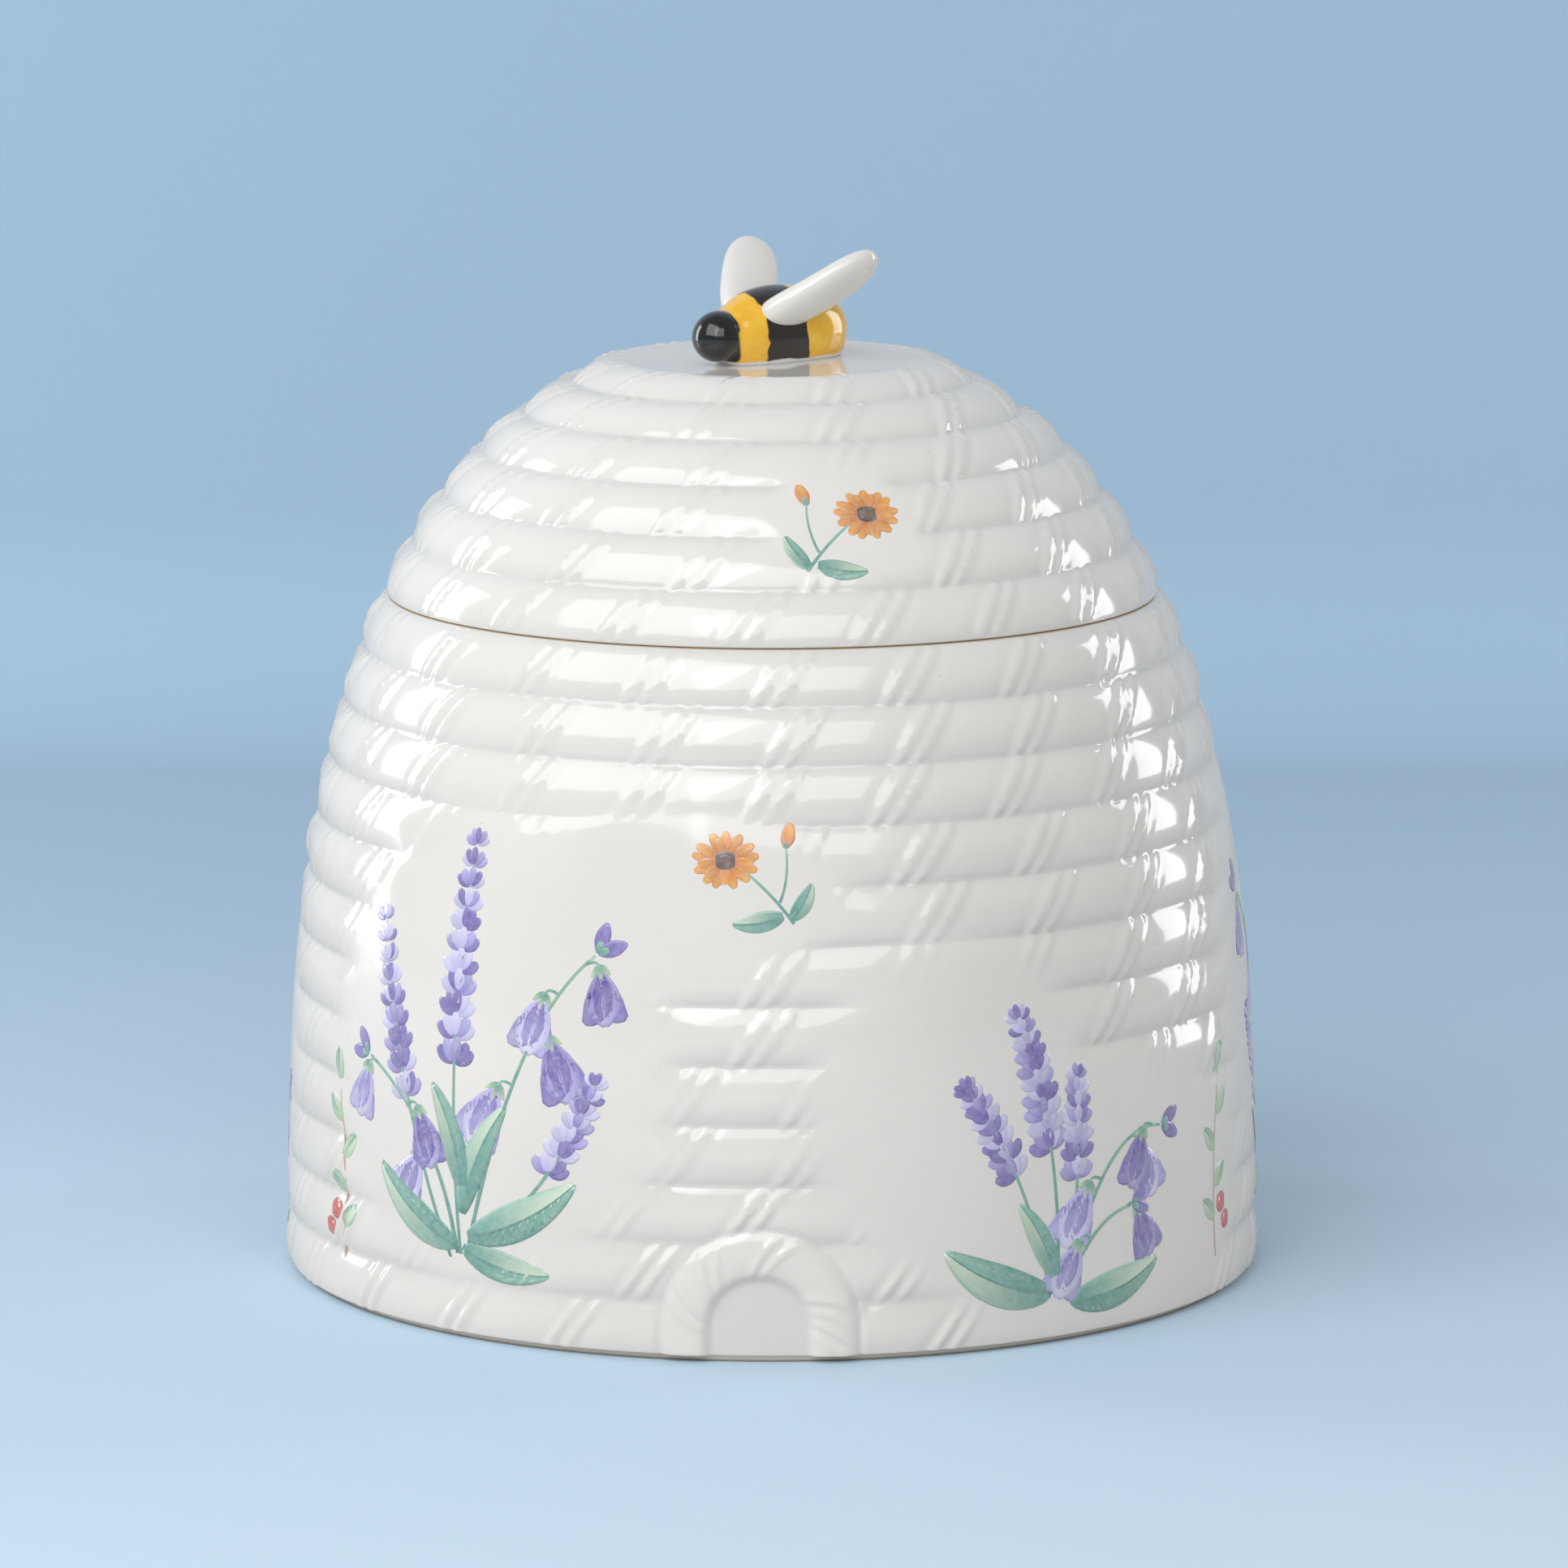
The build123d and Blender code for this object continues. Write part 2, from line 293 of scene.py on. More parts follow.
def inner_line(z, wall):
    """The dome's line, as (radius, z), moved in by the thickness of a wall at the heights z."""
    radius, _, out, up = outline(coil_at(z))
    inset = wall - GROOVE_DEPTH
    return np.stack([radius - inset * out, z - inset * up], axis=-1)


def quadratic(start, bend, end, t):
    """A curve between two points: (1-t)^2 start + 2t(1-t) bend + t^2 end."""
    return (1 - t) ** 2 * start + 2 * t * (1 - t) * bend + t ** 2 * end


def add_numbers(piece, name, values):
    """A named number for each point, which a material can read."""
    layer = piece.data.attributes.new(name, "FLOAT", "POINT")
    layer.data.foreach_set("value", np.asarray(values, dtype=np.float32))


# The grooves' greyer glaze is partly pooled glaze and partly painted shade.
HOLLOW_BELOW = 0.75           # the relief under which the glaze gathers, as a share of the crown


def add_glaze_numbers(piece, columns, first_ring, push, bare_rings):
    """How hollow the glazed wall is, from 0 on the crowns to 1 in the grooves, and which rings are bare.
    Hollowness greys the glaze: partly pooled glaze, partly painted shade.
    """
    hollow, bare = np.zeros((2, len(piece.data.vertices)))
    start = first_ring * columns
    hollow[start:start + push.size] = np.clip(1 - push / (HOLLOW_BELOW * CROWN), 0, 1).ravel()
    for low, high in bare_rings:
        bare[low * columns:high * columns] = 1
    add_numbers(piece, "hollow", hollow)
    add_numbers(piece, "bare", bare)


# %% [markdown]
# The grid is finest where the eye looks for detail: round the arch, then over the front, then the back.
# Inside each coil the rings crowd towards the grooves, where the surface turns most.

# %% Where the rings and columns of the grid fall
FRONT_HALF = math.radians(66)
ARCH_HALF = math.radians(14)
RING_PLACES = np.array([0.0, 0.05, 0.15, 0.32, 0.5, 0.68, 0.85, 0.95])


def columns_about_front(arch, front, back):
    """Azimuths, in rising order, with a share of the columns for the arch, the front and the back."""
    edges = (-ARCH_HALF, ARCH_HALF, FRONT_HALF, 2 * math.pi - FRONT_HALF, 2 * math.pi - ARCH_HALF)
    spans = zip(edges, edges[1:], (arch, front, back, front))
    return np.concatenate([np.linspace(low, high, count, endpoint=False) for low, high, count in spans])


def coil_rings(first, last):
    """Places, counted in coils, of the rings from one groove to another."""
    return np.concatenate([number + RING_PLACES for number in range(first, last)])


def wall_rings(places, azimuth, first, last, arch=False):
    """Outer rings: the groove line pushed out along its normal by the relief, and the relief itself."""
    coil, turn = np.meshgrid(places, azimuth, indexing="ij")
    push = relief(turn, coil, first, last)
    if arch:
        push = arch_relief(push, turn, coil)
    radius, z, out, up = outline(coil)
    return round_axis(radius + push * out, turn, z + push * up), push


# %% [markdown]
# The jar is a wall of even thickness with a foot ring below and a level rim above, thicker inside the rim,
# where the lid sits. The rim and the foot are the places that the glaze leaves bare.

# %% The jar
JAR_WALL, JAR_FLOOR = 4.6, 5.0
FOOT_RECESS, FOOT_RING, FOOT_EDGE = 1.6, 7.0, 1.4
RIM_SEAT = 7.0                # level ring on which the lid sits
MOUTH_RADIUS = RIM_RADIUS - RIM_SEAT
LIP, LIP_TAPER = 7.0, 7.0
FLOOR_CORNER = 12.0
FLOOR_TOP = FOOT_RECESS + JAR_FLOOR
EDGE = 0.62                   # rounding of the two rims that meet at the seam
FINE_COILS, FINE_STEP = 2.6, 0.055   # round the arch the rings lie at this step, in coils


def jar_profile_inside():
    """The jar's profile that has no relief, from the outside in: rim, lip, inner wall and floor."""
    rim = corner((RIM_RADIUS, SEAM - EDGE), (RIM_RADIUS - EDGE, SEAM), 1, 4)[1:]
    mouth = corner((MOUTH_RADIUS + EDGE, SEAM), (MOUTH_RADIUS, SEAM - EDGE), 1, 4)
    wall = inner_line(np.linspace(SEAM - LIP - LIP_TAPER, FLOOR_TOP + FLOOR_CORNER, 7), JAR_WALL)
    wall[-1, 1] = FLOOR_TOP + FLOOR_CORNER
    turn = corner(wall[-1], (wall[-1, 0] - FLOOR_CORNER, FLOOR_TOP), -1, 6)[1:]
    return np.concatenate([rim, mouth, [[MOUTH_RADIUS, SEAM - LIP]], wall, turn,
                           [[40.0, FLOOR_TOP], [3.0, FLOOR_TOP]]])


def jar_profile_below():
    """The underside, from the middle out: recess, foot ring and the rounded edge below the first coil."""
    inner = FOOT_RADIUS - FOOT_RING
    recess = [[3.0, FOOT_RECESS], [45.0, FOOT_RECESS], [inner - FOOT_RECESS, FOOT_RECESS], [inner, 0.0]]
    return recess, corner((FOOT_RADIUS - FOOT_EDGE, 0.0), (FOOT_RADIUS, FOOT_EDGE), -1, 5)


def make_jar():
    """The whole jar as one closed skin, and what its glaze does at each point."""
    azimuth = columns_about_front(98, 150, 290)
    last_place = JAR_COILS - EDGE / COIL_PITCH
    fine = np.arange(FOOT_EDGE / COIL_PITCH + 0.03, FINE_COILS, FINE_STEP)
    coarse = coil_rings(0, JAR_COILS)
    places = np.concatenate([fine, coarse[(coarse > FINE_COILS) & (coarse <= last_place)], [last_place]])
    wall, push = wall_rings(places, azimuth, 0.0, float(JAR_COILS), arch=True)
    recess, edge = jar_profile_below()
    under = spin(np.concatenate([recess, edge]), azimuth)
    foot_push = push[0] * smooth_step(0, 1, np.linspace(0.1, 0.85, len(edge)))[:, None]
    under[len(recess):] += round_axis(foot_push, azimuth, 0.0)
    rings = np.concatenate([under, wall, spin(jar_profile_inside(), azimuth)])
    points, faces = closed_grid(rings, (0, 0, FOOT_RECESS), (0, 0, FLOOR_TOP))
    piece = new_piece("jar_shell", points, faces)
    # The bare rings at the seat are the unglazed rim; their brown in the seam also paints the shadow line
    # between lid and jar.
    seat = len(under) + len(wall) + 1
    bare = ((len(recess) - 1, len(recess) + 1), (seat, seat + 3))
    add_glaze_numbers(piece, len(azimuth), len(under), push, bare)
    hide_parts("jar_body")
    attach(piece, "jar")
    return piece


jar = make_jar()

# %% [markdown]
# The lid is made the same way: six coils, a flat top a little wider than the bee, and below the rim a
# plain flange that drops into the mouth and keeps the lid from sliding.

# %% The lid
LID_WALL = 4.2
FLANGE_CLEARANCE, FLANGE_WALL, FLANGE_DEPTH = 0.8, 3.8, 9.0
TOP_EDGE = 3.4                # how far the last coil's rounding reaches in over the flat top
TOP_BLEND = 0.20              # where that rounding begins, in coils below the top


def lid_profile_below():
    """The lid's underside from the middle out: roof, inner dome, flange and rim."""
    outer = MOUTH_RADIUS - FLANGE_CLEARANCE
    inner = outer - FLANGE_WALL
    shelf, roof = SEAM + LID_WALL, TOP - LID_WALL
    dome = inner_line(np.linspace(roof - 3.0, shelf + LID_WALL, 7), LID_WALL)
    tip, low = FLANGE_WALL / 4, SEAM - FLANGE_DEPTH
    return np.concatenate([
        [[3.0, roof], [dome[0, 0] * 0.7, roof - 0.2]], dome, [[inner, shelf], [inner, SEAM - 2.0]],
        corner((inner, low + tip), (inner + tip, low), 1, 4),
        corner((outer - tip, low), (outer, low + tip), 1, 4),
        [[outer, SEAM]], corner((RIM_RADIUS - EDGE, SEAM), (RIM_RADIUS, SEAM + EDGE), 1, 4)[:-1],
    ])


def top_rounding(wall, azimuth):
    """Rings that carry the last coil onto the flat top along a quadratic curve, level where it ends."""
    bend, end = spin([[TOP_RADIUS + 0.2, TOP], [TOP_RADIUS - TOP_EDGE, TOP]], azimuth)
    return quadratic(wall[-1], bend, end, np.linspace(0, 1, 9)[1:, None, None])


def make_lid():
    """The whole lid as one closed skin, and what its glaze does at each point."""
    azimuth = columns_about_front(56, 160, 300)
    first_place, last_place = JAR_COILS + EDGE / COIL_PITCH, ALL_COILS - TOP_BLEND
    places = np.concatenate([[first_place], coil_rings(JAR_COILS, ALL_COILS), [last_place]])
    places = np.unique(places[(places >= first_place) & (places <= last_place)])
    wall, push = wall_rings(places, azimuth, float(JAR_COILS), float(ALL_COILS))
    under = spin(lid_profile_below(), azimuth)
    top = spin([[TOP_RADIUS * 0.7, TOP], [TOP_RADIUS * 0.4, TOP], [2.0, TOP]], azimuth)
    rings = np.concatenate([under, wall, top_rounding(wall, azimuth), top])
    points, faces = closed_grid(rings, (0, 0, TOP - LID_WALL), (0, 0, TOP))
    piece = new_piece("lid_shell", points, faces)
    # The bare rings at the lid's rim are unglazed; their brown in the seam also paints the shadow line
    # between lid and jar.
    add_glaze_numbers(piece, len(azimuth), len(under), push, [(len(under) - 4, len(under) - 1)])
    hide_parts("lid")
    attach(piece, "lid")
    return piece


lid = make_lid()

# %% [markdown]
# The bee is one small casting with a flat underside. Its cross-section is a rounded box that changes along
# the body: a few stations give the half width and the height, and a smooth curve joins them.

# %% The bee's body
BEE_HEADING = math.radians(223)
BEE_PLACE = (-0.5, -4.0)
BEE_AXIS = 5.4                # height of its middle line over the lid
BEE_NECK = 11.9               # place along the body where the collar ends and the head begins
# Along the bee from tail to nose: place, half width, and height of the back over the middle line.
BEE_STATIONS = np.array([
    (-17.6, 0.0, 0.0), (-16.8, 3.9, 3.7), (-14.6, 6.0, 5.9), (-10.5, 7.2, 7.6), (-4.0, 7.5, 8.9),
    (1.5, 7.5, 9.0), (6.0, 7.0, 8.1), (9.6, 5.8, 6.3), (11.9, 4.8, 5.1), (13.2, 4.9, 5.2),
    (15.4, 4.7, 4.7), (17.4, 3.0, 2.8), (18.2, 0.0, 0.0)])


def smooth_through(x, known_x, known_y):
    """A cubic through known points whose slopes are the mean of the slopes on each side (Catmull-Rom)."""
    slope = np.gradient(known_y, known_x)
    place = np.clip(np.searchsorted(known_x, x) - 1, 0, len(known_x) - 2)
    width = known_x[place + 1] - known_x[place]
    t = (x - known_x[place]) / width
    low, high = known_y[place], known_y[place + 1]
    return ((2 * t**3 - 3 * t**2 + 1) * low + (t**3 - 2 * t**2 + t) * width * slope[place]
            + (3 * t**2 - 2 * t**3) * high + (t**3 - t**2) * width * slope[place + 1])


def bee_to_world(points):
    """Turn points of the bee's own frame (x to the head, y to its left, z from the lid) into the jar's."""
    cos, sin = math.cos(BEE_HEADING), math.sin(BEE_HEADING)
    x = BEE_PLACE[0] + points[..., 0] * cos - points[..., 1] * sin
    y = BEE_PLACE[1] + points[..., 0] * sin + points[..., 1] * cos
    return np.stack([x, y, points[..., 2] + TOP], axis=-1)


def make_bee_body():
    """Rings (w cos, axis + h sin) across the body, with one h for the back and one for the belly, cut flat
    at the lid. Squares of the widths and heights are interpolated, so that both ends close round."""
    tail, nose = BEE_STATIONS[0, 0], BEE_STATIONS[-1, 0]
    place = (tail + nose) / 2 - (nose - tail) / 2 * np.cos(np.linspace(0.06, math.pi - 0.06, 150))
    width, back = (
        np.sqrt(np.maximum(smooth_through(place, BEE_STATIONS[:, 0], BEE_STATIONS[:, column] ** 2), 0.02))
        for column in (1, 2))
    belly = width * (1.35 - 0.42 * smooth_step(BEE_NECK - 1.5, BEE_NECK + 0.5, place))
    angle = np.linspace(0, 2 * math.pi, 96, endpoint=False)
    y = width[:, None] * np.cos(angle)
    rise = np.sin(angle)
    z = np.maximum(BEE_AXIS + np.where(rise > 0, back[:, None], belly[:, None]) * rise, -0.02)
    rings = np.stack([np.broadcast_to(place[:, None], y.shape), y, z], axis=-1)
    ends = bee_to_world(np.array([[tail, 0, BEE_AXIS], [nose, 0, BEE_AXIS]]))
    points, faces = closed_grid(bee_to_world(rings), *ends)
    piece = new_piece("bee_casting", points, faces)
    add_numbers(piece, "along", np.concatenate([rings[..., 0].ravel(), [tail, nose]]))
    add_numbers(piece, "height", np.concatenate([rings[..., 2].ravel(), [BEE_AXIS, BEE_AXIS]]))
    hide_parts("bee_body")
    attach(piece, "lid")
    return piece


bee = make_bee_body()

# %% [markdown]
# The wings are thick drops of clay, as broad as a fingertip, pressed onto the bee's shoulders. Each is an
# oval section carried from root to tip, thicker at the root and wider near the round end.

# %% The wings
WING_ROOT = np.array([3.0, 4.2, 8.4])
WING_REACH = np.array([-15.3, 13.05, 11.6])
WING_LENGTH, WING_WIDTH, WING_THICKNESS = 23.6, 11.8, 5.6
WING_HEEL = 4.0               # how far the wing reaches back past its root, into the body
WING_TWIST = math.radians(3)


def unit(vector):
    """The vector with its length made 1."""
    return vector / np.linalg.norm(vector)


def make_wing(name, node, side):
    """Rings along the wing: both half sizes follow (1 - |2t - 1|^n)^(1/2), and widen a little to the tip."""
    along = unit(WING_REACH * np.array([1, side, 1]))
    forward = unit(np.array([1.0, 0, 0]) - along[0] * along)
    across = math.cos(WING_TWIST) * forward - side * math.sin(WING_TWIST) * np.cross(along, forward)
    normal = np.cross(along, across)
    root = WING_ROOT * np.array([1, side, 1]) - WING_HEEL * along
    length = WING_LENGTH + WING_HEEL
    t = (1 - np.cos(np.linspace(0.05, math.pi - 0.05, 72))) / 2
    closing = np.sqrt(1 - np.abs(2 * t - 1) ** 3.4)
    half_width = WING_WIDTH / 2 * closing * (0.92 + 0.08 * smooth_step(0.0, 0.75, t))
    half_thickness = WING_THICKNESS / 2 * np.sqrt(1 - np.abs(2 * t - 1) ** 5) * (1.15 - 0.25 * t)
    bend = -0.03 * length * (2 * t - 1) ** 2
    angle = np.linspace(0, 2 * math.pi, 56, endpoint=False)
    centre = root + (t * length)[:, None] * along + bend[:, None] * normal * side
    flat = np.sign(np.cos(angle)) * np.abs(np.cos(angle)) ** 0.9
    rings = (centre[:, None, :] + half_width[:, None, None] * flat[None, :, None] * across
             + half_thickness[:, None, None] * np.sin(angle)[None, :, None] * normal)
    ends = bee_to_world(np.stack([centre[0] - 0.02 * along, centre[-1] + 0.02 * along]))
    points, faces = closed_grid(bee_to_world(rings), *ends)
    piece = new_piece(name, points, faces)
    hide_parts(node)
    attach(piece, "lid")
    return piece


wings = [make_wing("left_wing", "bee_wing_left", 1), make_wing("right_wing", "bee_wing_right", -1)]

# %% [markdown]
# Materials are graphs of nodes. A few helpers keep them short: a value given to an input may be a number,
# a colour, or the output of another node, which is then linked.

# %% Helpers that build materials
GLAZE_IOR = 1.52
COAT_ROUGHNESS = 0.03


def put(tree, socket, value):
    """Give an input a value, or link it when the value is another node's output."""
    if isinstance(value, bpy.types.NodeSocket):
        tree.links.new(value, socket)
    else:
        socket.default_value = value


def feed(tree, made, **values):
    """Give values to a node's inputs by name, with _ for a space."""
    for key, value in values.items():
        put(tree, made.inputs[key.replace("_", " ")], value)


def node(tree, kind, place, *first_inputs, **values):
    """A node at a place; names that aren't an input's are its settings, and come first."""
    made = tree.nodes.new(kind)
    made.location = place
    for key, value in values.items():
        if key.replace("_", " ") in made.inputs:
            feed(tree, made, **{key: value})
        else:
            setattr(made, key, value)
    for socket, value in zip(made.inputs, first_inputs):
        put(tree, socket, value)
    return made


def mix(tree, place, factor, a, b):
    """The colour a where the factor is 0, b where it is 1, and their blend between."""
    return node(tree, "ShaderNodeMix", place, data_type="RGBA", Factor=factor, A=a, B=b).outputs["Result"]


def remap(tree, place, value, given, wanted, **values):
    """A value carried from one range to another."""
    made = node(tree, "ShaderNodeMapRange", place, Value=value, **values)
    feed(tree, made, From_Min=given[0], From_Max=given[1], To_Min=wanted[0], To_Max=wanted[1])
    return made.outputs["Result"]


def noise(tree, place, vector, **values):
    """A cloudy number at a place in space, or on a brush stroke."""
    return node(tree, "ShaderNodeTexNoise", place, Vector=vector, **values).outputs["Fac"]


def stored(tree, place, name, socket="Fac"):
    """What the mesh stores under a name."""
    return node(tree, "ShaderNodeAttribute", place, attribute_name=name).outputs[socket]


def object_place(tree, place):
    """The place on the object, which stays put when the object moves."""
    return node(tree, "ShaderNodeTexCoord", place).outputs["Object"]


def new_material(name, **values):
    """A material, its tree and its Principled shader, whose inputs are given by name."""
    material = bpy.data.materials.new(name)
    material.use_nodes = True
    shader = material.node_tree.nodes["Principled BSDF"]
    feed(material.node_tree, shader, **values)
    return material, material.node_tree, shader


# %% [markdown]
# Glaze is glass. Over white porcelain it is bright and clear, and a little greyer in the grooves, partly
# where it gathers thick and partly as painted shade in the hollows; it is warm where it is thin on the
# crowns. Rims and the foot are wiped bare before firing, so they are matt and a little brown, and in the seam
# between lid and jar that brown also serves as a painted shadow line. One node group does this for the jar,
# the lid and the wings.

# %% The glaze
# The hollow colour is greyer than the crown's: partly pooled glaze, partly painted shade in the grooves.
CROWN_COLOUR, HOLLOW_POOL_AND_SHADE_COLOUR = (0.80, 0.79, 0.765, 1), (0.72, 0.72, 0.70, 1)
# The bare brown is the unglazed body of the foot and rims; in the seam it is also painted shadow.
BARE_AND_SEAM_SHADE_COLOUR, FLECK_COLOUR = (0.42, 0.33, 0.22, 1), (0.45, 0.42, 0.38, 1)


def glaze_group():
    """Colour, roughness and normal of a white glaze from how hollow and how bare the surface is."""
    group = bpy.data.node_groups.new("white_glaze_coat", "ShaderNodeTree")
    for name, kind, value in (
            ("Crown Colour", "Color", CROWN_COLOUR), ("Hollow Colour", "Color", HOLLOW_POOL_AND_SHADE_COLOUR),
            ("Bare And Seam Shade Colour", "Color", BARE_AND_SEAM_SHADE_COLOUR), ("Hollow", "Float", 0.0), ("Bare", "Float", 0.0),
            ("Ripple", "Float", 0.05)):
        made = group.interface.new_socket(name=name, in_out="INPUT", socket_type="NodeSocket" + kind)
        made.default_value = value
    for name, kind in (("Colour", "Color"), ("Roughness", "Float"), ("Normal", "Vector")):
        group.interface.new_socket(name=name, in_out="OUTPUT", socket_type="NodeSocket" + kind)
    given = node(group, "NodeGroupInput", (-900, 0)).outputs
    place = object_place(group, (-900, -300))
    cloud = noise(group, (-650, -250), place, Scale=22.0, Detail=4.0, Roughness=0.55)
    peel = noise(group, (-650, -500), place, Scale=160.0, Detail=2.0, Roughness=0.5)
    speck = node(group, "ShaderNodeTexVoronoi", (-650, -750), Vector=place, Scale=120.0).outputs["Distance"]
    # Greyer towards the grooves: pooled glaze and painted shade.
    pooled_and_shaded = mix(group, (-300, 200), given["Hollow"], given["Crown Colour"], given["Hollow Colour"])
    tone = remap(group, (-450, -100), cloud, (0.3, 0.7), (0.965, 1.02))
    shade = node(group, "ShaderNodeVectorMath", (-100, 150), pooled_and_shaded, operation="SCALE", Scale=tone)
    pin = remap(group, (-300, -700), speck, (0.020, 0.034), (0.3, 0.0))
    fleck = mix(group, (100, 100), pin, shade.outputs["Vector"], FLECK_COLOUR)
    # Bare rims and foot turn brown; in the seam this brown is also painted shadow.
    bare_and_seam_shade = mix(group, (350, 100), given["Bare"], fleck, given["Bare And Seam Shade Colour"])
    gloss = remap(group, (100, -150), given["Bare"], (0.0, 1.0), (0.11, 0.65))
    bump = node(group, "ShaderNodeBump", (350, -350), Distance=0.0004, Strength=given["Ripple"], Height=peel)
    node(group, "NodeGroupOutput", (900, 0), bare_and_seam_shade, gloss, bump.outputs["Normal"])
    return group


def glaze_material(name, group, ripple, with_relief):
    """White glaze: the group feeds a Principled shader with a clear, smooth coat."""
    material, tree, shader = new_material(
        name, IOR=GLAZE_IOR, Coat_Weight=0.35, Coat_Roughness=COAT_ROUGHNESS)
    coat = node(tree, "ShaderNodeGroup", (-350, 100), node_tree=group, Ripple=ripple)
    if with_relief:
        feed(tree, coat, Hollow=stored(tree, (-650, 100), "hollow"), Bare=stored(tree, (-650, -100), "bare"))
    feed(tree, shader, Base_Color=coat.outputs["Colour"], Roughness=coat.outputs["Roughness"],
         Normal=coat.outputs["Normal"])
    return material


glaze = glaze_group()
jar_glaze = glaze_material("glazed_porcelain", glaze, 0.06, True)
wing_glaze = glaze_material("glazed_wing", glaze, 0.04, False)
jar.data.materials.append(jar_glaze)
lid.data.materials.append(jar_glaze)
for wing in wings:
    wing.data.materials.append(wing_glaze)

# %% [markdown]
# The bee is painted under its glaze with a brush: a black head, an amber collar, a dark middle and an
# amber tail, with edges that waver, streaks in the amber, and a white line where the paint stops short
# of the lid. The bands follow a number stored along the body, so they stay on it in any pose.

# %% The bee's paint
HEAD_EDGE, COLLAR_EDGE, MIDDLE_EDGE = 12.0, 6.4, -3.6
BRUSH_EDGE = 0.22             # half the width of the blend where two colours meet
AMBER_DARK, AMBER_LIGHT = (0.86, 0.45, 0.03, 1), (0.94, 0.58, 0.05, 1)
HEAD_BLACK, MIDDLE_DARK = (0.006, 0.006, 0.008, 1), (0.018, 0.012, 0.009, 1)


def band_mask(tree, along, edge, softness, place):
    """1 towards the head of an edge on the body, 0 towards the tail, with a brush-soft border."""
    border = (edge - softness, edge + softness)
    return remap(tree, place, along, border, (0.0, 1.0), interpolation_type="SMOOTHSTEP")


def bee_material():
    """Paint bands chosen by the stored place along the body, moved about by a slow noise."""
    material, tree, shader = new_material(
        "bee_paint", IOR=GLAZE_IOR, Coat_Weight=0.5, Coat_Roughness=COAT_ROUGHNESS)
    place = object_place(tree, (-1500, -200))
    waver = noise(tree, (-1300, -200), place, Scale=230.0, Detail=1.5)
    shift = remap(tree, (-1100, -200), waver, (0.25, 0.75), (-0.9, 0.9))
    along = node(tree, "ShaderNodeMath", (-900, 100), stored(tree, (-1500, 200), "along"), shift,
                 operation="ADD").outputs["Value"]
    streak = noise(tree, (-1300, -500), place, Scale=300.0, Detail=4.0, Roughness=0.6)
    strength = remap(tree, (-1100, -450), streak, (0.32, 0.68), (0.0, 1.0))
    amber = mix(tree, (-900, -450), strength, AMBER_DARK, AMBER_LIGHT)
    middle = band_mask(tree, along, MIDDLE_EDGE, BRUSH_EDGE, (-600, -100))
    collar = band_mask(tree, along, COLLAR_EDGE, BRUSH_EDGE, (-600, 150))
    head = band_mask(tree, along, HEAD_EDGE, BRUSH_EDGE, (-600, 400))
    bands = mix(tree, (-350, -200), middle, amber, MIDDLE_DARK)
    bands = mix(tree, (-150, 0), collar, bands, amber)
    bands = mix(tree, (50, 100), head, bands, HEAD_BLACK)
    low = node(tree, "ShaderNodeMath", (-600, -350), shift, 0.35, stored(tree, (-1500, 0), "height"),
               operation="MULTIPLY_ADD").outputs["Value"]
    foot = band_mask(tree, low, 0.8, 0.15, (-400, -400))
    bump = node(tree, "ShaderNodeBump", (0, -700), Strength=0.05, Distance=0.0003, Height=streak)
    feed(tree, shader, Base_Color=mix(tree, (250, 100), foot, CROWN_COLOUR, bands),
         Roughness=remap(tree, (0, -500), streak, (0.0, 1.0), (0.08, 0.2)), Normal=bump.outputs["Normal"])
    return material


bee.data.materials.append(bee_material())

# %% [markdown]
# The flowers are printed onto the glaze in the smooth panels: bellflowers and lavender with slim leaves,
# and a small amber daisy on the front and on the lid. Painted flowers are brush strokes, so each petal,
# leaf and stem here is one stroke: a ribbon along a curve, with a width that swells and closes. It lies
# on the wall as thin as paper, and its edge dips into the glaze, so no edge catches the light.

# %% Brush strokes on the wall
PAINT_LIFT = 0.035            # how far the first stroke of a spray stands over the glaze, in millimetres
LAYER_STEP = 0.0006           # how much higher each later stroke lies, so that it covers the ones before
EDGE_DIP = 0.05               # how far a stroke's edge goes down into the glaze
TOP_SIDE = np.array([-1.0, -0.9, -0.6, 0.0, 0.6, 0.9, 1.0])
UNDER_SIDE = np.array([0.5, 0.0, -0.5])


def tint(red, green, blue):
    """A colour given as a painter's 0 to 255 values, turned into linear light."""
    value = np.array([red, green, blue]) / 255
    return np.where(value <= 0.04045, value / 12.92, ((value + 0.055) / 1.055) ** 2.4)


VIOLET, PERIWINKLE, LAVENDER = tint(96, 80, 168), tint(128, 118, 196), tint(178, 174, 228)
PALE_LILAC, TEAL, SEA_GREEN = tint(214, 214, 242), tint(70, 148, 138), tint(128, 186, 166)
PALE_GREEN, LEAF_LIGHT = tint(176, 208, 160), tint(214, 230, 204)
AMBER, DEEP_AMBER, BROWN = tint(236, 168, 52), tint(206, 112, 30), tint(58, 34, 20)
RED, DARK_RED, TWIG = tint(206, 62, 44), tint(140, 30, 26), tint(206, 158, 128)


def curve_through(start, bend, end, rows):
    """Points along a quadratic curve."""
    start, bend, end = (np.array(point, float) for point in (start, bend, end))
    return quadratic(start, bend, end, np.linspace(0, 1, rows)[:, None])


